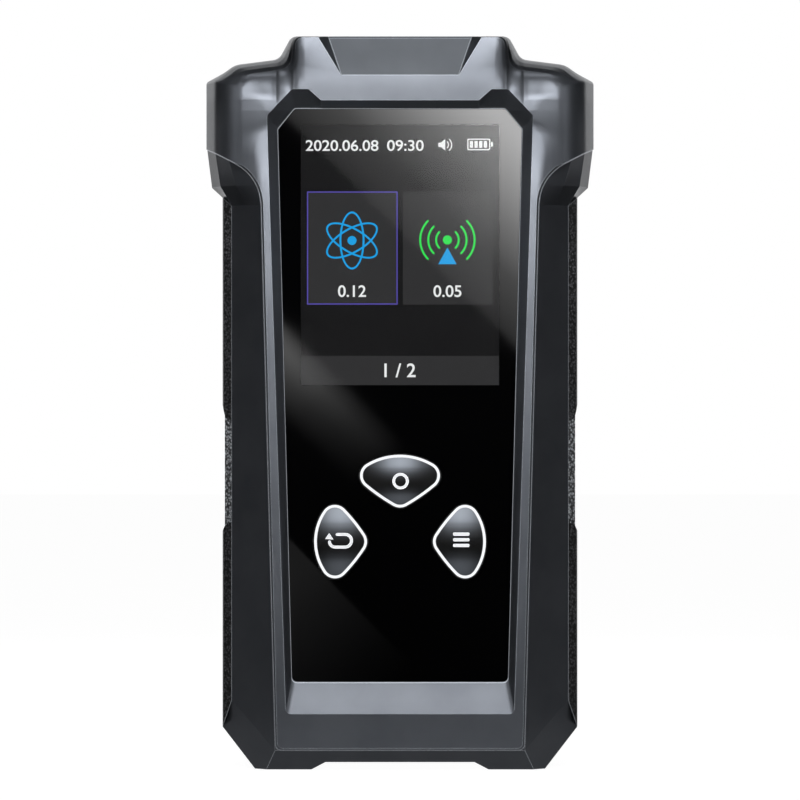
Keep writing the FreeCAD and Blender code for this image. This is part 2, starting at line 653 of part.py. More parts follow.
def make_front_shell(keys):
    """Dark moulded front half: neck, side bevels, feet, deck for the window and screw bosses."""
    shell = front_form().common(slab(base_outline(BODY_HALF), FRONT_Y, PARTING_Y))
    shell = shell.fuse(corner_blocks(BEVEL_BACK_Y, PARTING_Y))
    for cutter in corner_cutters():
        shell = shell.cut(cutter)
    hollow = front_form(WALL).common(slab(base_outline(BODY_HALF, WALL), DECK_BACK_Y, PARTING_Y))
    shell = shell.cut(hollow)
    shell = shell.cut(slab(bezel_outline(), FRONT_Y - 1, BEZEL_BACK_Y))
    head_space = slab(bezel_outline(), FRONT_Y - 1, PARTING_Y + 1)
    shell = shell.cut(head_space.common(level_band(RAIL_TOP_Z - HEAD_SPACE_DEPTH, TOP_CLEAR_Z)))
    tongue_half = HEAD_SCREW_X - BOSS_RADIUS - FIT
    tongue = box((-tongue_half, tongue_half), (BEZEL_BACK_Y, DECK_BACK_Y),
                 (NECK_BOTTOM_Z - WALL, GLASS_TOP_Z + WALL))
    shell = shell.fuse(tongue)
    shell = shell.cut(slab(glass_outline(FIT), BEZEL_BACK_Y - 1, DECK_FRONT_Y))
    view_half = ACTIVE_HALF + VIEW_MARGIN
    shell = shell.cut(box((-view_half, view_half), (DECK_FRONT_Y - 1, DECK_BACK_Y + 1),
                          (ACTIVE_BOTTOM_Z - VIEW_MARGIN, ACTIVE_TOP_Z + VIEW_MARGIN)))
    for key in keys:
        shell = shell.cut(key_blank(key, KEY_GAP + KEY_RIM + KEY_FLANGE, DECK_FRONT_Y - 1, DECK_BACK_Y + 1))
    for x, z in case_screws_at()[:4]:
        boss = rod(BOSS_RADIUS, Vector(x, BEZEL_BACK_Y, z), Vector(x, PARTING_Y, z))
        boss = boss.common(front_form(WALL / 2))
        bore = rod(SCREW_SHANK_RADIUS, Vector(x, PARTING_Y - SCREW_LENGTH, z), Vector(x, PARTING_Y + 1, z))
        shell = shell.fuse(boss).cut(bore)
    for post in make_board_posts():
        shell = shell.fuse(post)
    return shell.cut(usb_space(FIT)).removeSplitter()


def make_front_bezel():
    """Metal-grey cover: rounded head, sunk surround for the glass and tapered rails."""
    bottom_z = NECK_BOTTOM_Z - 2 * WALL
    head = head_form(FRONT_Y, FRONT_Y + SIDE_ROUND_DEPTH, PARTING_Y, SIDE_ROUND_WIDTH, bottom_z)
    hollow = head_hollow(BEZEL_BACK_Y, PARTING_Y + 0.01, SIDE_DRAFT + HOLLOW_DRAFT + WALL, WALL, bottom_z - 1)
    head = head.cut(hollow)
    head = head.common(bezel_cutout(PARTING_Y + 1))
    plate = bezel_cutout(BEZEL_BACK_Y).common(level_band(0, NECK_BOTTOM_Z))
    bezel = head.fuse(plate)
    for x, z in case_screws_at()[4:]:
        boss = rod(BOSS_RADIUS, Vector(x, BEZEL_BACK_Y - 0.2, z), Vector(x, PARTING_Y, z))
        bore = rod(SCREW_SHANK_RADIUS, Vector(x, PARTING_Y - SCREW_LENGTH, z), Vector(x, PARTING_Y + 1, z))
        bezel = bezel.fuse(boss).cut(bore)
    recess = loft_back([(FRONT_Y, recess_outline()), (GLASS_FRONT_Y, glass_outline())], True)
    bezel = bezel.cut(recess)
    bezel = bezel.cut(slab(glass_outline(FIT), GLASS_FRONT_Y - 0.01, BEZEL_BACK_Y + 1))
    bezel = bezel.fuse(sensor_mounting()).cut(sensor_wedge(0))
    return bezel.cut(make_sensor_window()).removeSplitter()


def sensor_mounting():
    """Ledge inside the bezel behind the sensor window, with two posts for the sensor board."""
    half = SENSOR_TOP_HALF + 1.0
    pieces = [box((-half, half), (BEZEL_BACK_Y - 0.2, BEZEL_BACK_Y + SENSOR_LEDGE),
                  (SENSOR_BOTTOM_Z, CASE_HEIGHT - WALL / 2))]
    for x in (-SENSOR_POST_X, SENSOR_POST_X):
        z = SENSOR_BOARD_Z + SENSOR_BOARD_HEIGHT / 2
        pieces.append(rod(SENSOR_POST_RADIUS, Vector(x, BEZEL_BACK_Y + 1, z), Vector(x, SENSOR_BOARD_Y, z)))
    return pieces[0].fuse(pieces[1:])


def sensor_wedge(sink):
    """Sunk trapezoid at the top of the head, deepest at the top edge."""
    top = TOP_CLEAR_Z
    rise = (top - SENSOR_BOTTOM_Z) / (SENSOR_TOP_Z - SENSOR_BOTTOM_Z)
    front_half = SENSOR_BOTTOM_HALF + (SENSOR_TOP_HALF - SENSOR_BOTTOM_HALF) * rise
    floor_half = SENSOR_BOTTOM_HALF + (SENSOR_FLOOR_HALF - SENSOR_BOTTOM_HALF) * rise
    depth = SENSOR_DEPTH * rise
    floor_y = FRONT_Y + depth + sink
    low_y = FRONT_Y + sink
    front_y = FRONT_Y - 1
    low = SENSOR_BOTTOM_HALF
    spread = (front_half - floor_half) / depth
    sides = []
    for sign in (-1, 1):
        sides.append([
            Vector(sign * (low + spread), front_y, SENSOR_BOTTOM_Z),
            Vector(sign * low, low_y, SENSOR_BOTTOM_Z),
            Vector(sign * floor_half, floor_y, top),
            Vector(sign * (front_half + spread), front_y, top),
        ])
    left, right = sides
    walls = [[left[i], left[(i + 1) % 4], right[(i + 1) % 4], right[i]] for i in range(4)]
    return polyhedron([left, right] + walls)


def make_sensor_window():
    """Flat plastic window let into the sloping floor of the top recess."""
    low = Vector(0, FRONT_Y, SENSOR_BOTTOM_Z)
    high = Vector(0, FRONT_Y + SENSOR_DEPTH, SENSOR_TOP_Z)
    along = high - low
    normal = Vector(0, -along.z, along.y).normalize()
    corners = [
        low + Vector(-SENSOR_BOTTOM_HALF + FIT, 0, 0),
        low + Vector(SENSOR_BOTTOM_HALF - FIT, 0, 0),
        high + Vector(SENSOR_FLOOR_HALF - FIT, 0, 0),
        high + Vector(-SENSOR_FLOOR_HALF + FIT, 0, 0),
    ]
    face = Part.Face(Part.makePolygon(corners + corners[:1]))
    return face.extrude(normal * -SENSOR_THICKNESS)


def rear_section(side, corner, round_out, flat):
    """Rear half of a level cut: straight side, corner, roundover and flat back."""
    half = [(side, REAR_START_Y), corner, round_out, flat]
    return half + [(-x, y) for x, y in reversed(half)]


def rear_form(inset=0.0):
    """Outside of the rear shell below the head."""
    side = BODY_HALF - inset
    neck = NECK_MIDDLE_HALF - inset
    head = HEAD_HALF - inset
    bevel = REAR_BEVEL_Y - 0.4 * inset
    flat = REAR_FLAT_HALF - 0.4 * inset
    body_back = BODY_BACK_Y - inset
    head_back = HEAD_BACK_Y - inset
    edge = HEAD_BACK_Y - REAR_ROUND_DEPTH - 0.4 * inset
    body = rear_section(side, (side, bevel), ((side + flat) / 2, (bevel + body_back) / 2), (flat, body_back))
    middle = rear_section(neck, (neck - 1, bevel + 0.6), (neck - 3.4, bevel + 3.8),
                          (flat + 1.4, body_back + NECK_SPREAD))
    head -= NECK_LEDGE
    head_back -= NECK_LEDGE
    drafted = head - SIDE_DRAFT
    round_out = (drafted - 0.3 * REAR_ROUND_WIDTH, edge + 0.65 * REAR_ROUND_DEPTH)
    top = rear_section(head, (drafted, edge), round_out, (drafted - REAR_ROUND_WIDTH, head_back))
    return loft_up([(0, body), (NECK_BOTTOM_Z, body), (NECK_MIDDLE_Z, middle), (NECK_TOP_Z, top),
                    (NECK_TOP_Z + 1, top)])


def make_rear_shell():
    """Dark moulded rear half with sunk screws, sound holes and its own rounded head."""
    edge_y = HEAD_BACK_Y - REAR_ROUND_DEPTH
    head = head_form(HEAD_BACK_Y, edge_y, REAR_START_Y, REAR_ROUND_WIDTH, NECK_TOP_Z)
    head = head.cut(head_hollow(HEAD_BACK_Y - WALL, REAR_START_Y - 0.01,
                                SIDE_DRAFT + HOLLOW_DRAFT + WALL, WALL, NECK_TOP_Z - 2))
    body = rear_form().common(slab(base_outline(BODY_HALF), REAR_START_Y, BODY_BACK_Y + 5))
    body = body.fuse(corner_blocks(REAR_START_Y, REAR_BEVEL_Y))
    for cutter in rear_cutters():
        body = body.cut(cutter)
    hollow = slab(base_outline(BODY_HALF, WALL), PARTING_Y - 1, BODY_BACK_Y + 5)
    body = body.cut(rear_form(WALL).common(hollow))
    inner = rear_form(WALL).common(level_band(NECK_MIDDLE_Z, NECK_TOP_Z + WALL))
    shell = body.fuse(head).cut(inner)
    for x, z in case_screws_at():
        back = BODY_BACK_Y if z < NECK_BOTTOM_Z else HEAD_BACK_Y
        seat = back - SCREW_SINK - SCREW_HEAD_HEIGHT
        boss = rod(BOSS_RADIUS, Vector(x, REAR_START_Y, z), Vector(x, back - WALL / 2, z))
        boss = boss.common(rear_boss_limits())
        shank = rod(SCREW_SHANK_RADIUS + FIT, Vector(x, REAR_START_Y - 1, z), Vector(x, back + 1, z))
        sink = rod(SCREW_HEAD_RADIUS + FIT, Vector(x, seat, z), Vector(x, back + 5, z))
        shell = shell.fuse(boss).cut(shank).cut(sink)
    for hole in sound_holes():
        shell = shell.cut(hole)
    return shell.removeSplitter()


def rear_boss_limits():
    """Outer limits that keep the rear screw bosses inside the rear shell."""
    edge_y = HEAD_BACK_Y - REAR_ROUND_DEPTH
    head = head_form(HEAD_BACK_Y, edge_y, REAR_START_Y, REAR_ROUND_WIDTH, NECK_TOP_Z)
    return rear_form().fuse(head)


def sound_holes():
    """Round holes behind the speaker: one in the middle and a ring round it."""
    spots = [(SPEAKER_X, SPEAKER_Z)]
    for step in range(SOUND_RING_HOLES):
        angle = 2 * math.pi * step / SOUND_RING_HOLES
        spots.append((SPEAKER_X + SOUND_RING * math.cos(angle), SPEAKER_Z + SOUND_RING * math.sin(angle)))
    return [rod(SOUND_HOLE_RADIUS, Vector(x, REAR_INNER_Y - 1, z), Vector(x, BODY_BACK_Y + 1, z))
            for x, z in spots]


def make_case_seal():
    """Flat rubber ring squeezed between the two halves."""
    outside = seal_plate(SEAL_INSET)
    inside = seal_plate(SEAL_INSET + SEAL_WIDTH)
    return outside.cut(inside)


def seal_plate(inset):
    """Thin plate of the case outline at the parting plane, drawn in by an amount."""
    depth = (PARTING_Y, REAR_START_Y)
    body = slab(mirrored([
        (FOOT_ROOT_HALF, FOOT_HEIGHT + inset, 0),
        (FOOT_OUTER_HALF - 0.6 * inset, FOOT_HEIGHT + inset, 0),
        (BODY_HALF - inset, CORNER_SIDE_Z - 0.6, 0),
        (BODY_HALF - inset, NECK_BOTTOM_Z, 0),
        (NECK_MIDDLE_HALF - inset, NECK_MIDDLE_Z, 0),
        (HEAD_HALF - inset, NECK_TOP_Z, 0),
        (HEAD_HALF - inset, NECK_TOP_Z + 2, 0),
    ]), *depth)
    head = slab(plain(head_outline(inset, inset, inset, NECK_TOP_Z)), *depth)
    return body.fuse(head)


# ---------------------------------------------------------------- grips

def grip_outline():
    """Outside line of the right grip seen from the front, with its waist."""
    inner = BODY_HALF
    outer = GRIP_HALF
    waist = GRIP_HALF - WAIST_DEPTH
    lean = (NECK_MIDDLE_Z - NECK_BOTTOM_Z) / (NECK_MIDDLE_HALF - BODY_HALF)
    return [
        (inner, CORNER_BEVEL_Z, 0),
        (outer, CORNER_SIDE_Z, 0),
        (outer, WAIST_BOTTOM_Z, 0),
        (waist, WAIST_BOTTOM_Z + WAIST_SLOPE / 2, 0),
        (waist, WAIST_TOP_Z - WAIST_SLOPE, 0),
        (outer, WAIST_TOP_Z, 0),
        (outer, NECK_BOTTOM_Z + lean * GRIP_THICKNESS, 0),
        (inner, NECK_BOTTOM_Z, 0),
    ]


def grip_profile(thickness):
    """Grip cut across: flat against the case, softened at its front and rear edges."""
    rear_y = REAR_BEVEL_Y
    return [
        (BODY_HALF, BEVEL_BACK_Y),
        (BODY_HALF + GRIP_EDGE_SHARE * thickness, BEVEL_BACK_Y + GRIP_EDGE_DEPTH),
        (BODY_HALF + thickness, BEVEL_BACK_Y + 3 * GRIP_EDGE_DEPTH),
        (BODY_HALF + thickness, rear_y - 3 * GRIP_EDGE_DEPTH),
        (BODY_HALF + GRIP_EDGE_SHARE * thickness, rear_y - GRIP_EDGE_DEPTH),
        (BODY_HALF, rear_y),
    ]


def make_grip():
    """Soft side grip bonded along the case."""
    length = loft_up([(0, grip_profile(GRIP_THICKNESS)), (CASE_HEIGHT, grip_profile(GRIP_THICKNESS))])
    grip = length.common(slab(grip_outline(), BEVEL_BACK_Y - 1, REAR_BEVEL_Y + 1))
    return grip.cut(make_inlay_form(0))


def make_inlay_form(clearance):
    """Tapered pad at the waist of the grip."""
    inner = GRIP_HALF - WAIST_DEPTH - INLAY_THICKNESS + clearance
    outer = GRIP_HALF - WAIST_DEPTH - 2 * clearance
    low = WAIST_BOTTOM_Z + INLAY_MARGIN
    high = WAIST_TOP_Z - INLAY_TOP_MARGIN
    outline = [
        (inner, low + INLAY_SLOPE, 0),
        (outer, low, 0),
        (outer, high, 0),
        (inner, high - INLAY_SLOPE, 0),
    ]
    return slab(outline, BEVEL_BACK_Y + 3 * GRIP_EDGE_DEPTH, REAR_BEVEL_Y - 3 * GRIP_EDGE_DEPTH)


# ---------------------------------------------------------------- display

def make_display_window(keys):
    """Printed cover glass with three key openings."""
    glass = slab(glass_outline(-FIT / 2), GLASS_FRONT_Y, GLASS_BACK_Y)
    for key in keys:
        glass = glass.cut(key_blank(key, KEY_RIM + KEY_GAP, GLASS_FRONT_Y - 1, GLASS_BACK_Y + 1))
    return glass


def make_display_gasket():
    """Adhesive foam frame under the edge of the glass."""
    outside = slab(glass_outline(-FIT), GLASS_BACK_Y, DECK_FRONT_Y)
    return outside.cut(slab(glass_outline(-GASKET_WIDTH), GLASS_BACK_Y - 1, DECK_FRONT_Y + 1))


def lcd_span(front, back, edge=0.0):
    """Block of the display module between two depths."""
    return box((-LCD_HALF + edge, LCD_HALF - edge), (front, back),
               (ACTIVE_BOTTOM_Z - LCD_BORDER_BOTTOM + edge, ACTIVE_TOP_Z + LCD_BORDER_TOP - edge))


def make_lcd_flex():
    """Folded flexible circuit from the display to the board."""
    low = ACTIVE_BOTTOM_Z - LCD_BORDER_BOTTOM
    outer = low - FLEX_BEND
    front = LCD_BACK_Y - FLEX_DROP
    back = BOARD_FRONT_Y
    film = FLEX_THICKNESS
    profile = [(front, low), (front, outer), (back, outer), (back, low + FLEX_TAIL),
               (back - film, low + FLEX_TAIL), (back - film, outer + film),
               (front + film, outer + film), (front + film, low)]
    ring = [Vector(-FLEX_HALF, y, z) for y, z in profile]
    face = Part.Face(Part.makePolygon(ring + ring[:1]))
    return face.extrude(Vector(2 * FLEX_HALF, 0, 0))


# ---------------------------------------------------------------- keys

def key_list():
    """Each key: name, centre of its widest line, widest half, reach of its tip and turn."""
    ok_at = (0.0, ACTIVE_BOTTOM_Z - OK_KEY_DROP)
    keys = [{"name": "ok", "at": ok_at, "half": OK_KEY_HALF, "reach": OK_KEY_REACH, "turn": 180.0}]
    for name, side in (("back", -1), ("menu", 1)):
        at = (side * SIDE_KEY_PLACE * GLASS_BOTTOM_HALF, ACTIVE_BOTTOM_Z - SIDE_KEY_DROP)
        keys.append({"name": name, "at": at, "half": SIDE_KEY_HALF, "reach": SIDE_KEY_REACH,
                     "turn": -90.0 * side})
    return keys


def key_blank(key, grow, front, back):
    """Rounded three-cornered prism with a bowed wide side and a blunt tip, grown by an amount."""
    half = key["half"] + 0.5 * KEY_CORNER
    tip = Vector(0, 0, key["reach"] + 0.3 * KEY_CORNER)
    left = Vector(-half, 0, KEY_SHOULDER)
    right = Vector(half, 0, KEY_SHOULDER)
    bow = Part.Arc(left, Vector(0, 0, -KEY_BOW), right).toShape()
    swell = Vector(KEY_SIDE_SWELL, 0, KEY_SIDE_SWELL)
    first = Part.Arc(right, (right + tip) / 2 + swell, tip).toShape()
    swell.x = -swell.x
    second = Part.Arc(tip, (left + tip) / 2 + swell, left).toShape()
    core = Part.Wire([bow, first, second]).makeOffset2D(-KEY_CORNER)
    outline = core.makeOffset2D(KEY_CORNER + grow)
    blank = Part.Face(outline).extrude(Vector(0, back - front, 0))
    blank.rotate(Vector(0, 0, 0), Vector(0, 1, 0), key["turn"])
    blank.translate(Vector(key["at"][0], front, key["at"][1]))
    return blank


def make_key_cap(key):
    """Glossy key cap with a domed face."""
    cap = key_blank(key, 0, KEY_FRONT_Y, KEY_FLANGE_Y)
    x, z = key_middle(key)
    dome = Part.makeSphere(KEY_DOME_RADIUS, Vector(x, KEY_FRONT_Y + KEY_DOME_RADIUS, z))
    return cap.common(dome)


def make_key_rim(key):
    """Bright ring round the cap, with a flange behind the glass."""
    front = KEY_FRONT_Y + KEY_RIM_DROP
    flange_back = KEY_FLANGE_Y + KEY_FLANGE_THICKNESS
    ring = key_blank(key, KEY_RIM, front, KEY_FLANGE_Y)
    ring = ring.cut(key_blank(key, 0, front - 1, KEY_FLANGE_Y))
    return ring.fuse(key_blank(key, KEY_RIM + KEY_FLANGE, KEY_FLANGE_Y, flange_back))


def key_middle(key):
    """Centre of a key, where its switch stands."""
    bound = key_blank(key, 0, 0, 1).BoundBox
    return bound.Center.x, bound.Center.z


def make_switch_body(key):
    """Tactile switch on the board, open in front for its plunger and travel."""
    x, z = key_middle(key)
    half = SWITCH_SIZE / 2
    body = box((x - half, x + half), (SWITCH_FRONT_Y, BOARD_FRONT_Y), (z - half, z + half))
    well = rod(SWITCH_PLUNGER_RADIUS + SWITCH_CLEARANCE, Vector(x, SWITCH_FRONT_Y - 1, z),
               Vector(x, BOARD_FRONT_Y - SWITCH_FLOOR, z))
    legs = []
    for side in (-1, 1):
        for row in (-1, 1):
            across = sorted((x + side * half, x + side * (half + SWITCH_LEG)))
            middle = z + row * half * SWITCH_LEG_PLACE
            up = (middle - SWITCH_LEG_WIDTH / 2, middle + SWITCH_LEG_WIDTH / 2)
            legs.append(box(across, (BOARD_FRONT_Y - SWITCH_LEG_THICKNESS, BOARD_FRONT_Y), up))
    return body.cut(well).fuse(legs)


def make_switch_plunger(key):
    """Round plunger that the key presses."""
    x, z = key_middle(key)
    end = BOARD_FRONT_Y - SWITCH_FLOOR - KEY_TRAVEL - SWITCH_CLEARANCE
    return rod(SWITCH_PLUNGER_RADIUS, Vector(x, SWITCH_FRONT_Y - PLUNGER_PROUD, z), Vector(x, end, z))


def make_key_pusher(key):
    """Silicone pusher between the key flange and its switch."""
    x, z = key_middle(key)
    start = KEY_FLANGE_Y + KEY_FLANGE_THICKNESS
    return rod(PUSHER_RADIUS, Vector(x, start, z), Vector(x, SWITCH_FRONT_Y - PLUNGER_PROUD, z))


# ---------------------------------------------------------------- electronics

def make_main_board():
    """Fibreglass circuit board that carries the switches, tube and battery connector."""
    corners = mirrored([(BOARD_HALF, BOARD_BOTTOM_Z, BOARD_CORNER), (BOARD_HALF, BOARD_TOP_Z, BOARD_CORNER)])
    board = slab(corners, BOARD_FRONT_Y, BOARD_BACK_Y)
    for x, z in board_screws_at():
        board = board.cut(rod(SCREW_SHANK_RADIUS + FIT, Vector(x, BOARD_FRONT_Y - 1, z),
                              Vector(x, BOARD_BACK_Y + 1, z)))
    return board


def board_screws_at():
    """Axes of the screws that hold the board to the deck."""
    return [(sign * (BOARD_HALF - POST_INSET), z) for z in (POST_LOW_Z, POST_HIGH_Z) for sign in (-1, 1)]


def make_board_posts():
    """Posts moulded behind the deck under the board."""
    posts = []
    for x, z in board_screws_at():
        post = rod(POST_RADIUS, Vector(x, DECK_BACK_Y, z), Vector(x, BOARD_FRONT_Y, z))
        bore = rod(POST_BORE, Vector(x, BOARD_FRONT_Y - POST_BORE_DEPTH, z), Vector(x, BOARD_FRONT_Y + 1, z))
        posts.append(post.cut(bore))
    return posts


def screw(x, z, head_y, direction, length, shank_radius):
    """Cheese-head screw whose head starts at head_y; its cross recess is left to the finish."""
    start = Vector(x, head_y, z)
    toward = Vector(0, direction, 0)
    neck = start + toward * SCREW_HEAD_HEIGHT
    return rod(SCREW_HEAD_RADIUS, start, neck).fuse(rod(shank_radius, neck, neck + toward * length))


def make_case_screws():
    """Six screws that close the case from behind."""
    screws = []
    for x, z in case_screws_at():
        back = BODY_BACK_Y if z < NECK_BOTTOM_Z else HEAD_BACK_Y
        seat = back - SCREW_SINK - SCREW_HEAD_HEIGHT
        length = seat - PARTING_Y + SCREW_LENGTH - SCREW_END_ROOM
        screws.append(screw(x, z, seat + SCREW_HEAD_HEIGHT, -1, length, SCREW_SHANK_RADIUS))
    return screws


def make_board_screws():
    """Four short screws that hold the board on its posts."""
    length = BOARD_THICKNESS + BOARD_SCREW_LENGTH
    return [screw(x, z, BOARD_BACK_Y + SCREW_HEAD_HEIGHT, -1, length, POST_BORE)
            for x, z in board_screws_at()]


def make_chips():
    """Processor, memory and power parts on the back of the board."""
    return [box((x - size / 2, x + size / 2), (BOARD_BACK_Y, BOARD_BACK_Y + height),
                (CHIP_Z - size / 2, CHIP_Z + size / 2)) for x, size, height in CHIPS]


def make_shield_can():
    """Folded tin lid over the field amplifier."""
    metal = SHEET_METAL
    low, high = CAN_CORNER, (CAN_CORNER[0] + CAN_SIZE[0], CAN_CORNER[1] + CAN_SIZE[1])
    outside = box((low[0], high[0]), (BOARD_BACK_Y, BOARD_BACK_Y + CAN_HEIGHT), (low[1], high[1]))
    inside = box((low[0] + metal, high[0] - metal), (BOARD_BACK_Y - 1, BOARD_BACK_Y + CAN_HEIGHT - metal),
                 (low[1] + metal, high[1] - metal))
    return outside.cut(inside)


def make_gm_tube():
    """Counting tube between its two end caps."""
    half = TUBE_LENGTH / 2 - TUBE_CAP_LENGTH
    return rod(TUBE_RADIUS - TUBE_STEP, Vector(-half, TUBE_Y, TUBE_Z), Vector(half, TUBE_Y, TUBE_Z))


def make_tube_caps():
    """Pressed metal end caps with their pins."""
    caps = []
    for side in (-1, 1):
        inner = side * (TUBE_LENGTH / 2 - TUBE_CAP_LENGTH)
        outer = side * TUBE_LENGTH / 2
        cap = rod(TUBE_RADIUS, Vector(inner, TUBE_Y, TUBE_Z), Vector(outer, TUBE_Y, TUBE_Z))
        pin = rod(TUBE_PIN_RADIUS, Vector(outer, TUBE_Y, TUBE_Z),
                  Vector(outer + side * TUBE_PIN_LENGTH, TUBE_Y, TUBE_Z))
        caps.append(cap.fuse(pin))
    return caps


def make_tube_clips():
    """Two sprung clips, each a C of thin metal on a soldered foot."""
    clips = []
    for side in (-1, 1):
        start = side * (TUBE_LENGTH - TUBE_CAP_LENGTH) / 2 - CLIP_WIDTH / 2
        end = start + CLIP_WIDTH
        ring = rod(TUBE_RADIUS + CLIP_METAL, Vector(start, TUBE_Y, TUBE_Z), Vector(end, TUBE_Y, TUBE_Z))
        bore = rod(TUBE_RADIUS, Vector(start - 1, TUBE_Y, TUBE_Z), Vector(end + 1, TUBE_Y, TUBE_Z))
        reach = 2 * TUBE_RADIUS
        mouth = box((start - 1, end + 1), (TUBE_Y + CLIP_MOUTH, TUBE_Y + reach),
                    (TUBE_Z - reach, TUBE_Z + reach))
        foot = box((start, end), (BOARD_BACK_Y, TUBE_Y - CLIP_SEAT),
                   (TUBE_Z - CLIP_FOOT / 2, TUBE_Z + CLIP_FOOT / 2))
        clips.append(ring.fuse(foot).cut(bore).cut(mouth))
    return clips


def make_transformer():
    """High-voltage transformer: a wound bobbin between two ferrite plates."""
    x, z = TRANSFORMER_AT
    half = TRANSFORMER_SIZE / 2
    plate = TRANSFORMER_PLATE
    height = TRANSFORMER_HEIGHT
    lower = box((x - half, x + half), (BOARD_BACK_Y, BOARD_BACK_Y + plate), (z - half, z + half))
    coil = rod(TRANSFORMER_COIL_RADIUS, Vector(x, BOARD_BACK_Y + plate, z),
               Vector(x, BOARD_BACK_Y + height - plate, z))
    top = BOARD_BACK_Y + height
    upper = box((x - half, x + half), (top - plate, top), (z - half, z + half))
    return lower.fuse(coil).fuse(upper)


def make_capacitors():
    """High-voltage capacitors standing on the board."""
    return [rod(CAPACITOR_RADIUS, Vector(x, BOARD_BACK_Y, CAPACITOR_Z),
                Vector(x, BOARD_BACK_Y + CAPACITOR_HEIGHT, CAPACITOR_Z)) for x in CAPACITORS_X]


def make_sensor_board():
    """Small board behind the sensor window, on two posts of the bezel."""
    top = SENSOR_BOARD_Z + SENSOR_BOARD_HEIGHT
    corners = mirrored([(SENSOR_BOARD_HALF, SENSOR_BOARD_Z, SENSOR_BOARD_CORNER),
                        (SENSOR_BOARD_HALF, top, SENSOR_BOARD_CORNER)])
    return slab(corners, SENSOR_BOARD_Y, SENSOR_BOARD_Y + SENSOR_BOARD_THICKNESS)


def coil_axis():
    """Depth and height of the field coil behind its board."""
    depth = SENSOR_BOARD_Y + SENSOR_BOARD_THICKNESS + COIL_RADIUS
    return depth, SENSOR_BOARD_Z + SENSOR_BOARD_HEIGHT / 2


def make_coil_core():
    """Ferrite rod of the field sensor."""
    y, z = coil_axis()
    half = COIL_LENGTH / 2 + CORE_OVERHANG
    return rod(COIL_CORE_RADIUS, Vector(-half, y, z), Vector(half, y, z))


def make_coil_winding():
    """Enamelled wire wound on the ferrite rod."""
    y, z = coil_axis()
    half = COIL_LENGTH / 2
    winding = rod(COIL_RADIUS, Vector(-half, y, z), Vector(half, y, z))
    return winding.cut(rod(COIL_CORE_RADIUS, Vector(-half - 1, y, z), Vector(half + 1, y, z)))


def make_battery():
    """Flat lithium cell with rounded long edges."""
    block = box((-BATTERY_HALF, BATTERY_HALF), (BATTERY_FRONT_Y, REAR_INNER_Y - FOAM_THICKNESS),
                (BATTERY_BOTTOM_Z, BATTERY_TOP_Z))
    upright = [edge for edge in block.Edges if abs(edge.tangentAt(0).z) > 0.9]
    return block.makeFillet(BATTERY_THICKNESS / 3, upright)


def make_battery_foam():
    """Foam pad that sticks the cell to the rear shell."""
    half = BATTERY_HALF - FOAM_MARGIN
    return box((-half, half), (REAR_INNER_Y - FOAM_THICKNESS, REAR_INNER_Y),
               (BATTERY_BOTTOM_Z + FOAM_MARGIN, BATTERY_TOP_Z - FOAM_MARGIN))


def make_battery_connector():
    """White plug and socket of the battery leads."""
    x, z = CONNECTOR_AT
    width, depth, height = CONNECTOR_SIZE
    return box((x - width / 2, x + width / 2), (BOARD_BACK_Y, BOARD_BACK_Y + depth),
               (z - height / 2, z + height / 2))


def make_battery_leads():
    """Two short leads from the connector up to the cell."""
    x, z = CONNECTOR_AT
    top = BATTERY_BOTTOM_Z
    y_low = BOARD_BACK_Y + CONNECTOR_SIZE[1] / 2
    y_high = BATTERY_FRONT_Y + BATTERY_THICKNESS / 3
    start = z + CONNECTOR_SIZE[2] / 2
    rise = (start + top) / 2
    leads = []
    for step in (-LEAD_SPACING / 2, LEAD_SPACING / 2):
        points = [Vector(x + step, y_low, start), Vector(x + step, y_low, rise),
                  Vector(x + step, y_high, rise), Vector(x + step, y_high, top)]
        bend = 0.8 * min(points[1].z - points[0].z, (y_high - y_low) / 2)
        leads.append(bent_lead(points, bend, LEAD_RADIUS))
    return leads


def bent_lead(points, bend, radius):
    """Wire that starts upwards, along right-angled runs joined by arcs."""
    path = [points[0]]
    edges = []
    for i in range(1, len(points) - 1):
        before = (points[i - 1] - points[i]).normalize()
        after = (points[i + 1] - points[i]).normalize()
        start = points[i] + before * bend
        end = points[i] + after * bend
        middle = points[i] + (before + after) * bend * (1 - math.sqrt(0.5))
        edges.append(Part.LineSegment(path[-1], start).toShape())
        edges.append(Part.Arc(start, middle, end).toShape())
        path.append(end)
    edges.append(Part.LineSegment(path[-1], points[-1]).toShape())
    turns = [2 * math.pi * step / LEAD_SIDES for step in range(LEAD_SIDES)]
    corners = [points[0] + Vector(radius * math.cos(turn), radius * math.sin(turn), 0) for turn in turns]
    ring = Part.makePolygon(corners + corners[:1])
    return Part.Wire(edges).makePipeShell([ring], True, False)


def make_speaker():
    """Round speaker against the inside of the rear shell."""
    back = REAR_INNER_Y
    mouth = Vector(SPEAKER_X, back, SPEAKER_Z)
    can = rod(SPEAKER_RADIUS, Vector(SPEAKER_X, back - SPEAKER_THICKNESS, SPEAKER_Z), mouth)
    cone = Part.makeCone(SPEAKER_RADIUS - CONE_FRAME, CONE_RADIUS, CONE_DEPTH, mouth, Vector(0, -1, 0))
    return can.cut(cone)


def make_vibration_motor():
    """Coin-shaped vibration motor."""
    x, z = MOTOR_AT
    return rod(MOTOR_RADIUS, Vector(x, BOARD_BACK_Y, z), Vector(x, BOARD_BACK_Y + MOTOR_THICKNESS, z))


def stadium(half, radius, z_range):
    """Upright flat-sided oval prism round the charging socket's axis."""
    y = BOARD_BACK_Y + USB_RADIUS
    low, high = z_range
    straight = half - radius
    block = box((-straight, straight), (y - radius, y + radius), (low, high))
    ends = [rod(radius, Vector(x, y, low), Vector(x, y, high)) for x in (-straight, straight)]
    return block.fuse(ends)


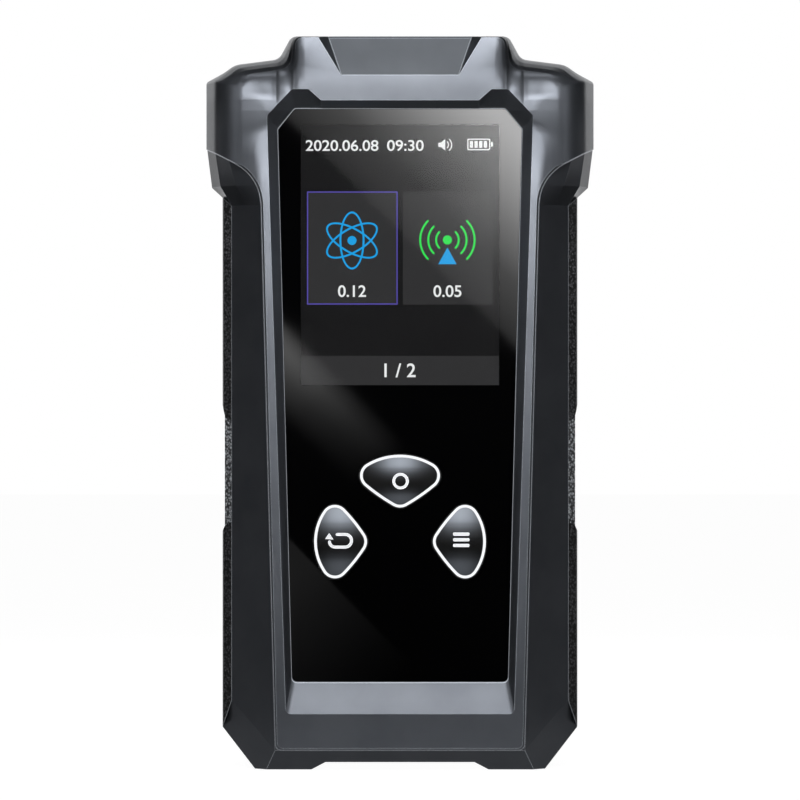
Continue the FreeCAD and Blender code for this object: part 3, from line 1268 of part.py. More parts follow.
def make_usb_socket():
    """Drawn metal charging socket with its tongue."""
    low = FOOT_HEIGHT + USB_SINK
    high = low + USB_LENGTH
    wall = SHEET_METAL
    shell = stadium(USB_HALF, USB_RADIUS, (low, high))
    shell = shell.cut(stadium(USB_HALF - wall, USB_RADIUS - wall, (low - 1, high - USB_END)))
    y = BOARD_BACK_Y + USB_RADIUS
    half, thin, sunk = USB_TONGUE
    tongue = box((-half, half), (y - thin, y + thin), (low + sunk, high - USB_END / 2))
    return shell.fuse(tongue)


def usb_space(clearance):
    """Opening for the charging socket in the bottom wall."""
    return stadium(USB_HALF + clearance, USB_RADIUS + clearance, (-1, FOOT_HEIGHT + WALL + 1))


# ---------------------------------------------------------------- assembly

def mirrored_copy(shape):
    """The left-hand copy of a right-hand shape."""
    return shape.mirror(Vector(0, 0, 0), Vector(1, 0, 0))


def save(name, shape):
    """Write one node; several like pieces stay separate solids in it."""
    if isinstance(shape, list):
        shape = Part.makeCompound(shape)
    shape.exportStep(os.path.join("parts", name + ".step"))


def main():
    """Build every node of the meter."""
    os.makedirs("parts", exist_ok=True)
    keys = key_list()
    grip = make_grip()
    inlay = make_inlay_form(0)
    nodes = {
        "front_bezel": make_front_bezel(),
        "sensor_window": make_sensor_window(),
        "front_shell": make_front_shell(keys),
        "rear_shell": make_rear_shell(),
        "case_seal": make_case_seal(),
        "right_grip": grip,
        "left_grip": mirrored_copy(grip),
        "right_grip_inlay": inlay,
        "left_grip_inlay": mirrored_copy(inlay),
        "display_window": make_display_window(keys),
        "display_gasket": make_display_gasket(),
        "lcd_panel": lcd_span(DECK_BACK_Y, LCD_BACK_Y),
        "lcd_backlight": lcd_span(LCD_BACK_Y, BACKLIGHT_BACK_Y, BACKLIGHT_INSET),
        "lcd_flex": make_lcd_flex(),
        "main_board": make_main_board(),
        "board_chips": make_chips(),
        "shield_can": make_shield_can(),
        "gm_tube": make_gm_tube(),
        "tube_end_caps": make_tube_caps(),
        "tube_clips": make_tube_clips(),
        "hv_transformer": make_transformer(),
        "hv_capacitors": make_capacitors(),
        "sensor_board": make_sensor_board(),
        "field_coil_core": make_coil_core(),
        "field_coil_winding": make_coil_winding(),
        "battery_cell": make_battery(),
        "battery_foam": make_battery_foam(),
        "battery_connector": make_battery_connector(),
        "battery_leads": make_battery_leads(),
        "speaker": make_speaker(),
        "vibration_motor": make_vibration_motor(),
        "usb_socket": make_usb_socket(),
        "case_screws": make_case_screws(),
        "board_screws": make_board_screws(),
    }
    for key in keys:
        name = key["name"]
        nodes[name + "_key_cap"] = make_key_cap(key)
        nodes[name + "_key_rim"] = make_key_rim(key)
        nodes[name + "_key_pusher"] = make_key_pusher(key)
        nodes[name + "_switch_body"] = make_switch_body(key)
        nodes[name + "_switch_plunger"] = make_switch_plunger(key)
    for name, shape in nodes.items():
        save(name, shape)


main()
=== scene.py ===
import bpy
import math
from mathutils import Matrix, Vector


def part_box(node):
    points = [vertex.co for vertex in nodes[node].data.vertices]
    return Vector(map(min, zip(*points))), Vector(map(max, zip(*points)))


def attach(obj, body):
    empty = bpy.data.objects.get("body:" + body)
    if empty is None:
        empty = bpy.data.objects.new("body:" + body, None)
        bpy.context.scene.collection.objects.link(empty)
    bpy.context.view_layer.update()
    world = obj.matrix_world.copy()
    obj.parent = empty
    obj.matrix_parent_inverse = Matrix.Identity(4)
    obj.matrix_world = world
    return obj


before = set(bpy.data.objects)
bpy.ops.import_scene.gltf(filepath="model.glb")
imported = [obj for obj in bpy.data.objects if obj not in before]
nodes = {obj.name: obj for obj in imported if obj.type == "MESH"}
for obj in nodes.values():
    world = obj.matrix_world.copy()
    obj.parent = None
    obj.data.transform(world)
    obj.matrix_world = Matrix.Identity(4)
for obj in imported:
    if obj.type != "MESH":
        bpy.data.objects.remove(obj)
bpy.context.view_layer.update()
MM = 0.001

# ---- Rear shell -------------------------------------------------------------
# The back half of the case, moulded in graphite ABS with a fine spark-eroded texture.
# Sinks in its back take the heads of the six case screws, and the sound holes go through it.
SHELL_GREY = (88, 91, 97)
SHELL_LIFT = (96, 99, 105)


def shade(red, green, blue):
    """A colour from 0 to 255 as the linear values that a shader takes."""
    linear = [(c / 255 / 12.92) if c / 255 <= 0.04045 else ((c / 255 + 0.055) / 1.055) ** 2.4
              for c in (red, green, blue)]
    return (*linear, 1.0)


def noise(tree, size, detail=3.0):
    """Clouds whose patches are about size across, in metres, fixed to the piece."""
    place = tree.nodes.new("ShaderNodeTexCoord")
    cloud = tree.nodes.new("ShaderNodeTexNoise")
    cloud.inputs["Scale"].default_value = 1 / size
    cloud.inputs["Detail"].default_value = detail
    tree.links.new(place.outputs["Object"], cloud.inputs["Vector"])
    return cloud


def spread(tree, source, low, high):
    """Turns a cloud's 0.3 to 0.7 into low to high."""
    span = tree.nodes.new("ShaderNodeMapRange")
    span.inputs["From Min"].default_value = 0.3
    span.inputs["From Max"].default_value = 0.7
    span.inputs["To Min"].default_value = low
    span.inputs["To Max"].default_value = high
    tree.links.new(source.outputs["Fac"], span.inputs["Value"])
    return span


def surface(name, dark, light, patch=9 * MM, grain=0.25 * MM, depth=0.012 * MM,
            rough=(0.4, 0.5), **sockets):
    """A solid finish: two close tints in soft patches, a fine grain in relief and in gloss."""
    made = bpy.data.materials.new(name)
    made.use_nodes = True
    tree = made.node_tree
    shader = tree.nodes["Principled BSDF"]
    tint = tree.nodes.new("ShaderNodeValToRGB")
    tint.color_ramp.elements[0].position, tint.color_ramp.elements[1].position = 0.32, 0.68
    tint.color_ramp.elements[0].color = shade(*dark)
    tint.color_ramp.elements[1].color = shade(*light)
    tree.links.new(noise(tree, patch).outputs["Fac"], tint.inputs["Fac"])
    tree.links.new(tint.outputs["Color"], shader.inputs["Base Color"])
    fine = noise(tree, grain, 2.0)
    relief = tree.nodes.new("ShaderNodeBump")
    relief.inputs["Distance"].default_value = depth
    tree.links.new(fine.outputs["Fac"], relief.inputs["Height"])
    tree.links.new(relief.outputs["Normal"], shader.inputs["Normal"])
    tree.links.new(spread(tree, fine, *rough).outputs["Result"], shader.inputs["Roughness"])
    for socket, value in sockets.items():
        shader.inputs[socket.replace("_", " ")].default_value = value
    return made


CRISP_FOLD, ROLLED_FOLD = 10, 26
BLOCK_HALF, HEAD_LOW = 19 * MM, 100 * MM


def smooth_form():
    """Joins the strips of the head's rolled-over edges into one curve and keeps all else crisp."""
    group = bpy.data.node_groups.new("smooth form", "GeometryNodeTree")
    group.interface.new_socket("Form", in_out="INPUT", socket_type="NodeSocketGeometry")
    group.interface.new_socket("Form", in_out="OUTPUT", socket_type="NodeSocketGeometry")
    start = group.nodes.new("NodeGroupInput")
    joined = group.nodes.new("GeometryNodeMergeByDistance")
    joined.inputs["Distance"].default_value = 0.002 * MM
    fold = group.nodes.new("GeometryNodeInputMeshEdgeAngle")
    place = group.nodes.new("GeometryNodeInputPosition")
    axes = group.nodes.new("ShaderNodeSeparateXYZ")
    # An edge is sharp from a fold of 26 degrees on the wings of the head, and of 10 elsewhere.
    steps = []
    for operation, value in (("ABSOLUTE", 0), ("LESS_THAN", BLOCK_HALF), ("LESS_THAN", HEAD_LOW),
                             ("MAXIMUM", 0), ("MULTIPLY", math.radians(CRISP_FOLD - ROLLED_FOLD)),
                             ("ADD", math.radians(ROLLED_FOLD))):
        step = group.nodes.new("ShaderNodeMath")
        step.operation = operation
        step.inputs[1].default_value = value
        steps.append(step)
    across, middle, low, either, less, limit = steps
    sharp = group.nodes.new("FunctionNodeCompare")
    sharp.operation = "GREATER_THAN"
    soft = group.nodes.new("GeometryNodeSetShadeSmooth")
    crisp = group.nodes.new("GeometryNodeSetShadeSmooth")
    crisp.domain = "EDGE"
    crisp.inputs["Shade Smooth"].default_value = False
    end = group.nodes.new("NodeGroupOutput")
    link = group.links.new
    link(start.outputs[0], joined.inputs["Geometry"])
    link(joined.outputs["Geometry"], soft.inputs["Geometry"])
    link(soft.outputs["Geometry"], crisp.inputs["Geometry"])
    link(place.outputs[0], axes.inputs[0])
    link(axes.outputs["X"], across.inputs[0])
    link(across.outputs[0], middle.inputs[0])
    link(axes.outputs["Z"], low.inputs[0])
    link(middle.outputs[0], either.inputs[0])
    link(low.outputs[0], either.inputs[1])
    link(either.outputs[0], less.inputs[0])
    link(less.outputs[0], limit.inputs[0])
    link(limit.outputs[0], sharp.inputs["B"])
    link(fold.outputs["Unsigned Angle"], sharp.inputs["A"])
    link(sharp.outputs["Result"], crisp.inputs["Selection"])
    link(crisp.outputs["Geometry"], end.inputs[0])
    return group


SMOOTH_FORM = smooth_form()


def dress(names, finish, rolled=False):
    """Gives solids their finish, and smooth shading where their edges are rolled over."""
    for name in names.split():
        solid = nodes[name]
        solid.data.materials.clear()
        solid.data.materials.append(finish)
        if rolled:
            solid.modifiers.new("smooth form", "NODES").node_group = SMOOTH_FORM


SAME_FACE, AT_CORNER = 0.97, 0.88


def painted_corner_highlights(finish, width, glow):
    """Paints a highlight as thin glowing lines along the corners of a moulding, in place of the light its
    edges would catch.
    """
    tree = finish.node_tree
    shader = tree.nodes["Principled BSDF"]
    corner = tree.nodes.new("ShaderNodeBevel")
    corner.samples = 6
    corner.inputs["Radius"].default_value = width
    face = tree.nodes.new("ShaderNodeNewGeometry")
    turn = tree.nodes.new("ShaderNodeVectorMath")
    turn.operation = "DOT_PRODUCT"
    tree.links.new(corner.outputs["Normal"], turn.inputs[0])
    tree.links.new(face.outputs["Normal"], turn.inputs[1])
    line = tree.nodes.new("ShaderNodeMapRange")
    line.inputs["From Min"].default_value = SAME_FACE
    line.inputs["From Max"].default_value = AT_CORNER
    line.inputs["To Max"].default_value = glow
    tree.links.new(turn.outputs["Value"], line.inputs["Value"])
    shader.inputs["Emission Color"].default_value = shade(226, 232, 240)
    tree.links.new(line.outputs["Result"], shader.inputs["Emission Strength"])


graphite = surface("graphite case", SHELL_GREY, SHELL_LIFT, grain=0.22 * MM, depth=0.01 * MM,
                   rough=(0.34, 0.42), Metallic=0.75)
# Painted highlights along the corners of the graphite case.
painted_corner_highlights(graphite, 0.25 * MM, 0.4)
dress("rear_shell", graphite, rolled=True)

# ---- Front shell ------------------------------------------------------------
# The front half: the neck and the bevelled body, in the same graphite ABS. The deck behind the
# glass, the posts for the main board and four screw bosses are moulded as part of it.
dress("front_shell", graphite)

# ---- Case seal --------------------------------------------------------------
# A flat ring of black silicone rubber that follows the joint between the two halves.
# The case screws squeeze it.
dress("case_seal", surface("seal rubber", (20, 20, 21), (27, 27, 28), rough=(0.6, 0.75)))

# ---- Front bezel ------------------------------------------------------------
# The front of the head and the frame round the glass, moulded as one in a lighter satin grey:
# the swept top, two rails and a bottom bar. The two screws in the head hold it from behind.
satin = surface("satin bezel", (104, 108, 115), (112, 116, 123), grain=0.2 * MM, depth=0.008 * MM,
                rough=(0.32, 0.4), Metallic=0.75)


def graph(tree, value, *spots):
    """A smooth curve through (value, height) spots, as a height in metres."""
    span = tree.nodes.new("ShaderNodeMapRange")
    span.inputs["From Min"].default_value = spots[0][0] * MM
    span.inputs["From Max"].default_value = spots[-1][0] * MM
    tree.links.new(value, span.inputs["Value"])
    low = min(height for _, height in spots)
    high = max(height for _, height in spots)
    bend = tree.nodes.new("ShaderNodeFloatCurve")
    line = bend.mapping.curves[0]
    places = [((at - spots[0][0]) / (spots[-1][0] - spots[0][0]), (height - low) / (high - low))
              for at, height in spots]
    for number, place in enumerate(places):
        if number in (0, len(places) - 1):
            line.points[0 if number == 0 else -1].location = place
        else:
            line.points.new(*place)
    bend.mapping.update()
    tree.links.new(span.outputs["Result"], bend.inputs["Value"])
    height = tree.nodes.new("ShaderNodeMapRange")
    height.inputs["To Min"].default_value = low * MM
    height.inputs["To Max"].default_value = high * MM
    tree.links.new(bend.outputs["Value"], height.inputs["Value"])
    return height.outputs["Result"]


def math_of(tree, operation, *values):
    """The result of a sum, a product or the like."""
    step = tree.nodes.new("ShaderNodeMath")
    step.operation = operation
    for socket, value in zip(step.inputs, values):
        if isinstance(value, (int, float)):
            socket.default_value = value
        else:
            tree.links.new(value, socket)
    return step.outputs[0]


def place_of(tree):
    """Where a spot lies on the part: its X, Y and Z."""
    place = tree.nodes.new("ShaderNodeTexCoord")
    axes = tree.nodes.new("ShaderNodeSeparateXYZ")
    tree.links.new(place.outputs["Object"], axes.inputs[0])
    return axes.outputs


def pillowed(finish):
    """Gives the head its soft relief: the flat middle block, the valleys and the side pillows."""
    tree = finish.node_tree
    spot = place_of(tree)
    # How far to the side, less 7 mm low on the head, where the valleys lie further out.
    inward = graph(tree, spot["Z"], (100, -7), (114, -7), (119, -4), (123, 0), (137, 0))
    side = math_of(tree, "ADD", math_of(tree, "ABSOLUTE", spot["X"]), inward)
    # 0 on the middle block and 1 on the wings, and the furrow between them near the top.
    wing = math_of(tree, "DIVIDE", graph(tree, side, (17.8, 0), (19.1, 0.06), (20.8, 0.5), (22.6, 0.94),
                                         (24, 1)), MM)
    furrow = graph(tree, side, (15, 0), (17.9, -0.02), (19.6, -0.4), (21.2, -0.95), (23, -0.4), (25, -0.04),
                   (27, 0))
    upper = math_of(tree, "DIVIDE", graph(tree, spot["Z"], (122, 0), (126, 0.6), (130, 1),
                                          (137, 1)), MM)
    # The wings fall away above and below their middle, and the block and the rails lean back.
    drop = graph(tree, spot["Z"], (100, -1.3), (116, -0.4), (122, -0.05), (124, -0.05),
                 (126, -0.32), (128, -0.66), (129, -1.1), (130, -2.0), (131, -3.1), (133, -5.6))
    lean = graph(tree, spot["Z"], (0, 5.6), (10.4, 5.3), (16.5, 5.2), (80, 2.75), (105, 1.0),
                 (120, -0.3), (128, -0.6), (137, -1.35))
    block = math_of(tree, "SUBTRACT", 1.0, wing)
    height = math_of(tree, "ADD", math_of(tree, "MULTIPLY", wing, drop),
                     math_of(tree, "MULTIPLY", block, lean))
    height = math_of(tree, "ADD", height, math_of(tree, "MULTIPLY", furrow, upper))
    form = tree.nodes.new("ShaderNodeBump")
    form.inputs["Distance"].default_value = 1.0
    tree.links.new(height, form.inputs["Height"])
    relief = next(node for node in tree.nodes if node.type == "BUMP" and node != form)
    tree.links.new(form.outputs["Normal"], relief.inputs["Normal"])


pillowed(satin)
# Painted highlights along the corners of the bezel.
painted_corner_highlights(satin, 0.25 * MM, 0.55)
dress("front_bezel", satin, rolled=True)

# ---- Sensor window ----------------------------------------------------------
# A smooth plastic insert before the field coil, let into the sloping top of the bezel.
# It is glued in from the front.
dress("sensor_window", surface("window grey", (108, 113, 120), (118, 123, 130), grain=0.15 * MM,
                               depth=0.004 * MM, rough=(0.4, 0.48), Metallic=0.3))

# ---- Side grips -------------------------------------------------------------
# Black thermoplastic rubber bonded along each side of the case, with a leather-like texture,
# and a smoother grey inlay at the waist where the fingers close.
RUBBER_DARK, RUBBER_LIGHT, WAIST_GREY = (56, 56, 58), (84, 84, 87), (168, 171, 176)
WAIST_MIDDLE, WAIST_HALF, WAIST_SLANT, GRIP_SIDE = 55.2 * MM, 10.3 * MM, 0.6, 33 * MM
NEAR_MIDDLE, NEAR_EDGE = 0.15, 0.6
# Painted light on the tops of the grain cells and painted shade in the valleys between them.
PAINTED_LIGHT_TOP, PAINTED_SHADE_VALLEY = 1.7, 0.15


def rubber(name, dark, light, cell, depth, rough, waisted=False):
    """Textured rubber: rounded cells in relief, with painted light on their tops and painted shade between
    them, and paler at the waist.
    """
    made = surface(name, dark, light, grain=cell, depth=depth, rough=rough)
    tree = made.node_tree
    shader = tree.nodes["Principled BSDF"]
    place = tree.nodes.new("ShaderNodeTexCoord")
    cells = tree.nodes.new("ShaderNodeTexVoronoi")
    cells.inputs["Scale"].default_value = 1 / cell
    tree.links.new(place.outputs["Object"], cells.inputs["Vector"])
    relief = tree.nodes.new("ShaderNodeBump")
    relief.invert = True
    relief.inputs["Distance"].default_value = depth
    tree.links.new(cells.outputs["Distance"], relief.inputs["Height"])
    tree.links.new(relief.outputs["Normal"], shader.inputs["Normal"])
    # Painted light and shade: each cell is lightened at its middle and darkened towards its edges.
    top = tree.nodes.new("ShaderNodeMapRange")
    top.inputs["From Min"].default_value = NEAR_MIDDLE
    top.inputs["From Max"].default_value = NEAR_EDGE
    top.inputs["To Min"].default_value = PAINTED_LIGHT_TOP
    top.inputs["To Max"].default_value = PAINTED_SHADE_VALLEY
    tree.links.new(cells.outputs["Distance"], top.inputs["Value"])
    colour = shader.inputs["Base Color"].links[0].from_socket
    if waisted:
        spot = place_of(tree)
        up = math_of(tree, "ABSOLUTE", math_of(tree, "SUBTRACT", spot["Z"], WAIST_MIDDLE))
        inward = math_of(tree, "SUBTRACT", GRIP_SIDE, math_of(tree, "ABSOLUTE", spot["X"]))
        ends = math_of(tree, "MULTIPLY_ADD", inward, WAIST_SLANT, up)
        pale = tree.nodes.new("ShaderNodeMix")
        pale.data_type = "RGBA"
        pale.inputs["B"].default_value = shade(*WAIST_GREY)
        tree.links.new(math_of(tree, "LESS_THAN", ends, WAIST_HALF), pale.inputs["Factor"])
        tree.links.new(colour, pale.inputs["A"])
        colour = pale.outputs["Result"]
    whole = tree.nodes.new("ShaderNodeVectorMath")
    whole.operation = "SCALE"
    tree.links.new(colour, whole.inputs[0])
    tree.links.new(top.outputs["Result"], whole.inputs["Scale"])
    tree.links.new(whole.outputs["Vector"], shader.inputs["Base Color"])
    return made


grip_rubber = rubber("grip rubber", RUBBER_DARK, RUBBER_LIGHT, 0.5 * MM, 0.09 * MM, (0.5, 0.62),
                     waisted=True)
# Painted highlights along the corners of the grips.
painted_corner_highlights(grip_rubber, 0.15 * MM, 0.16)
dress("right_grip left_grip", grip_rubber)
dress("right_grip_inlay left_grip_inlay",
      rubber("inlay rubber", (160, 163, 168), (176, 179, 184), 0.35 * MM, 0.03 * MM, (0.5, 0.6)))

# ---- Display window ---------------------------------------------------------
# A single sheet of hardened glass, gloss black printed on its back but for the clear opening
# over the display. A thin black gasket holds it to the deck.
VIEW_LEFT, VIEW_RIGHT = -18.4 * MM, 18.4 * MM
VIEW_BOTTOM, VIEW_TOP = 71.2 * MM, 119.5 * MM


def printed_glass():
    """Black gloss glass, see-through over the display."""
    made = surface("cover glass", (5, 5, 6), (7, 7, 8), patch=30 * MM, grain=6 * MM,
                   depth=0.0004 * MM, rough=(0.02, 0.03), IOR=1.5)
    tree = made.node_tree
    black = tree.nodes["Principled BSDF"]
    spot = place_of(tree)
    inside = 1.0
    for axis, test, edge in (("X", "GREATER_THAN", VIEW_LEFT), ("X", "LESS_THAN", VIEW_RIGHT),
                             ("Z", "GREATER_THAN", VIEW_BOTTOM), ("Z", "LESS_THAN", VIEW_TOP)):
        inside = math_of(tree, "MULTIPLY", math_of(tree, test, spot[axis], edge), inside)
    clear = tree.nodes.new("ShaderNodeBsdfTransparent")
    gloss = tree.nodes.new("ShaderNodeBsdfGlossy")
    gloss.inputs["Roughness"].default_value = 0.02
    mirror = tree.nodes.new("ShaderNodeFresnel")
    mirror.inputs["IOR"].default_value = 1.44
    pane = tree.nodes.new("ShaderNodeMixShader")
    outer = math_of(tree, "LESS_THAN", spot["Y"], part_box("display_window")[1].y - 0.2 * MM)
    tree.links.new(math_of(tree, "MULTIPLY", mirror.outputs[0], outer), pane.inputs[0])
    tree.links.new(clear.outputs[0], pane.inputs[1])
    tree.links.new(gloss.outputs[0], pane.inputs[2])
    whole = tree.nodes.new("ShaderNodeMixShader")
    tree.links.new(inside, whole.inputs[0])
    tree.links.new(black.outputs[0], whole.inputs[1])
    tree.links.new(pane.outputs[0], whole.inputs[2])
    tree.links.new(whole.outputs[0], tree.nodes["Material Output"].inputs["Surface"])
    return made


dress("display_window", printed_glass())
dress("display_gasket", surface("gasket film", (12, 12, 12), (18, 18, 18), rough=(0.6, 0.7)))

# ---- Display ----------------------------------------------------------------
# A 2.4 inch colour panel on its backlight, behind the clear opening. Its flat cable folds back
# under it to the main board. What it shows is drawn as thin lit shapes on its face.
dress("lcd_panel", surface("panel glass", (6, 6, 8), (9, 9, 11), rough=(0.2, 0.3)))
dress("lcd_backlight", surface("white moulding", (214, 214, 210), (224, 224, 220),
                               rough=(0.4, 0.5)))
dress("lcd_flex", surface("flex film", (150, 92, 30), (168, 106, 38), rough=(0.25, 0.35)))

SHEET = 0.03 * MM
LIT_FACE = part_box("lcd_panel")[0].y - 0.06 * MM


def lit(name, colour):
    """A lit patch of the display, with the fine grid of its picture cells."""
    made = bpy.data.materials.new(name)
    made.use_nodes = True
    tree = made.node_tree
    shader = tree.nodes["Principled BSDF"]
    place = tree.nodes.new("ShaderNodeTexCoord")
    grid = tree.nodes.new("ShaderNodeTexChecker")
    grid.inputs["Scale"].default_value = 1 / (0.15 * MM)
    bright = shade(*colour)
    grid.inputs["Color1"].default_value = bright
    grid.inputs["Color2"].default_value = (*[c * 0.96 for c in bright[:3]], 1)
    tree.links.new(place.outputs["Object"], grid.inputs["Vector"])
    tree.links.new(grid.outputs["Color"], shader.inputs["Emission Color"])
    shader.inputs["Emission Strength"].default_value = 1.0
    shader.inputs["Base Color"].default_value = (0.01, 0.01, 0.01, 1)
    shader.inputs["Roughness"].default_value = 0.5
    shader.inputs["Specular IOR Level"].default_value = 0.0
    return made


def solid_from(curve, finish, front, fit=None):
    """A flat shape drawn in x and z, as a thin solid whose front is at that y."""
    drawn = bpy.data.objects.new(curve.name, curve)
    bpy.context.scene.collection.objects.link(drawn)
    bpy.context.view_layer.update()
    seen = drawn.evaluated_get(bpy.context.evaluated_depsgraph_get())
    mesh = bpy.data.meshes.new_from_object(seen)
    mesh.name = curve.name
    bpy.data.objects.remove(drawn)
    mesh.transform(Matrix.Rotation(math.radians(90), 4, "X"))
    if fit:
        left, right, low, high = fit
        xs = [v.co.x for v in mesh.vertices]
        zs = [v.co.z for v in mesh.vertices]
        wide = (right - left) / (max(xs) - min(xs))
        tall = (high - low) / (max(zs) - min(zs))
        for vertex in mesh.vertices:
            vertex.co.x = left + (vertex.co.x - min(xs)) * wide
            vertex.co.z = low + (vertex.co.z - min(zs)) * tall
    for vertex in mesh.vertices:
        vertex.co.y += front + curve.extrude
    mesh.materials.clear()
    mesh.materials.append(finish)
    piece = bpy.data.objects.new(curve.name, mesh)
    bpy.context.scene.collection.objects.link(piece)
    return piece


def cut_sheet(name, outlines, finish, front=LIT_FACE, thick=SHEET):
    """A thin sheet of that outline. An outline inside another is a hole."""
    curve = bpy.data.curves.new(name, "CURVE")
    curve.dimensions = "2D"
    curve.fill_mode = "BOTH"
    curve.extrude = thick / 2
    for outline in outlines:
        spline = curve.splines.new("POLY")
        spline.points.add(len(outline) - 1)
        for point, (x, z) in zip(spline.points, outline):
            point.co = (x, z, 0, 1)
        spline.use_cyclic_u = True
    return solid_from(curve, finish, front)


def arc(x, z, radius, start, end, tall=None, tilt=0.0, count=40):
    """Points on an arc or ellipse round (x, z), angles in degrees."""
    tall = radius if tall is None else tall
    points = []
    for i in range(count + 1):
        turn = math.radians(start + (end - start) * i / count)
        across, up = radius * math.cos(turn), tall * math.sin(turn)
        points.append((x + across * math.cos(tilt) - up * math.sin(tilt),
                       z + across * math.sin(tilt) + up * math.cos(tilt)))
    return points


def round_box(left, right, low, high, corner):
    """The outline of a rectangle with round corners."""
    outline = []
    for x, z, start in ((right - corner, high - corner, 0), (left + corner, high - corner, 90),
                        (left + corner, low + corner, 180), (right - corner, low + corner, 270)):
        outline += arc(x, z, corner, start, start + 90, count=8)
    return outline


def stroke(path, width):
    """The outline of a round-ended pen stroke along a path."""
    left, right = [], []
    for i, (x, z) in enumerate(path):
        ahead, behind = path[min(i + 1, len(path) - 1)], path[max(i - 1, 0)]
        run = Vector((ahead[0] - behind[0], ahead[1] - behind[1])).normalized() * width / 2
        left.append((x - run.y, z + run.x))
        right.append((x + run.y, z - run.x))
    (x0, z0), (x1, z1) = path[0], path[-1]
    away = math.degrees(math.atan2(z1 - path[-2][1], x1 - path[-2][0]))
    back = math.degrees(math.atan2(z0 - path[1][1], x0 - path[1][0]))
    return (left + arc(x1, z1, width / 2, away + 90, away - 90, count=8)[1:-1] + right[::-1]
            + arc(x0, z0, width / 2, back + 90, back - 90, count=8)[1:-1])


def on_panel(piece):
    """A lit shape belongs to the display, which is fixed in the housing."""
    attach(piece, "housing")


def figures(name, text, left, right, low, high):
    """White figures, slightly bold, that fill the given place on the display."""
    curve = bpy.data.curves.new(name, "FONT")
    curve.body = text
    curve.extrude = SHEET / 2
    curve.offset = 0.012
    on_panel(solid_from(curve, LIT_WHITE, LIT_FACE, (left, right, low, high)))


LIT_BACK = lit("lit back", (21, 21, 22))
LIT_WHITE = lit("lit white", (238, 240, 240))
LIT_TILE = lit("lit tile", (47, 47, 48))
LIT_FRAME = lit("lit frame", (86, 76, 168))
LIT_BLUE = lit("lit blue", (28, 160, 228))
LIT_GREEN = lit("lit green", (40, 224, 80))
STROKE = 0.36 * MM

on_panel(cut_sheet("lit_back", [round_box(VIEW_LEFT, VIEW_RIGHT, VIEW_BOTTOM, VIEW_TOP, 0.05 * MM)],
                   LIT_BACK, LIT_FACE + 1.6 * SHEET, 0.3 * SHEET))

# The top line: a date, the time, the sound mark and the battery's four bars.
LINE_LOW, LINE_HIGH = 114.7 * MM, 116.75 * MM
figures("date_figures", "2020.06.08", -17.5 * MM, -4.0 * MM, LINE_LOW, LINE_HIGH)
figures("time_figures", "09:30", -2.4 * MM, 4.4 * MM, LINE_LOW, LINE_HIGH)
SOUND_X, SOUND_Z = 7.1 * MM, 115.85 * MM
on_panel(cut_sheet("sound_mark", [[
    (SOUND_X, SOUND_Z - 0.4 * MM), (SOUND_X + 0.5 * MM, SOUND_Z - 0.4 * MM),
    (SOUND_X + 1.3 * MM, SOUND_Z - 1.1 * MM), (SOUND_X + 1.3 * MM, SOUND_Z + 1.1 * MM),
    (SOUND_X + 0.5 * MM, SOUND_Z + 0.4 * MM), (SOUND_X, SOUND_Z + 0.4 * MM)]], LIT_WHITE))
for number, radius in enumerate((0.75 * MM, 1.35 * MM)):
    on_panel(cut_sheet(f"sound_wave_{number}", [stroke(
        arc(SOUND_X + 1.15 * MM, SOUND_Z, radius, -48, 48, count=10), 0.2 * MM)], LIT_WHITE))
CELL_LEFT, CELL_RIGHT, CELL_LOW, CELL_HIGH = 12.5 * MM, 16.75 * MM, 114.85 * MM, 117.0 * MM
LINE = 0.2 * MM
on_panel(cut_sheet("battery_mark", [
    round_box(CELL_LEFT, CELL_RIGHT, CELL_LOW, CELL_HIGH, 0.3 * MM),
    round_box(CELL_LEFT + LINE, CELL_RIGHT - LINE, CELL_LOW + LINE, CELL_HIGH - LINE, 0.15 * MM)],
    LIT_WHITE))
on_panel(cut_sheet("battery_mark_tip", [round_box(
    CELL_RIGHT + 0.1 * MM, CELL_RIGHT + 0.5 * MM, 115.5 * MM, 116.35 * MM, 0.1 * MM)], LIT_WHITE))
for number in range(4):
    left = CELL_LEFT + 0.45 * MM + number * 0.87 * MM
    on_panel(cut_sheet(f"battery_bar_{number}", [round_box(
        left, left + 0.6 * MM, CELL_LOW + 0.45 * MM, CELL_HIGH - 0.45 * MM, 0.08 * MM)], LIT_WHITE))

# Two tiles, of which the left one is chosen and so has a coloured frame.
TILE_LOW, TILE_HIGH = 86.2 * MM, 107.2 * MM
FRAME = 0.22 * MM
left_tile = (-17.26 * MM, -0.43 * MM)
right_tile = (0.54 * MM, 17.19 * MM)
for name, (left, right) in (("left_tile", left_tile), ("right_tile", right_tile)):
    on_panel(cut_sheet(name, [round_box(left, right, TILE_LOW, TILE_HIGH, 0.1 * MM)], LIT_TILE,
                       LIT_FACE + SHEET))
on_panel(cut_sheet("tile_frame", [
    round_box(left_tile[0], left_tile[1], TILE_LOW, TILE_HIGH, 0.12 * MM),
    round_box(left_tile[0] + FRAME, left_tile[1] - FRAME, TILE_LOW + FRAME, TILE_HIGH - FRAME,
              0.06 * MM)], LIT_FRAME))

# The atom on the left tile: three orbits round a core.
ATOM_X, ATOM_Z = -8.91 * MM, 98.1 * MM
ORBIT_LONG, ORBIT_SHORT = 5.2 * MM, 2.15 * MM
for number, tilt in enumerate((30, 90, 150)):
    rings = [arc(ATOM_X, ATOM_Z, ORBIT_LONG + side * STROKE / 2, 0, 360,
                 ORBIT_SHORT + side * STROKE / 2, math.radians(tilt), 72)[:-1] for side in (1, -1)]
    on_panel(cut_sheet(f"atom_orbit_{number}", rings, LIT_BLUE))
on_panel(cut_sheet("atom_core", [arc(ATOM_X, ATOM_Z, 0.84 * MM, 0, 360)[:-1]], LIT_BLUE))

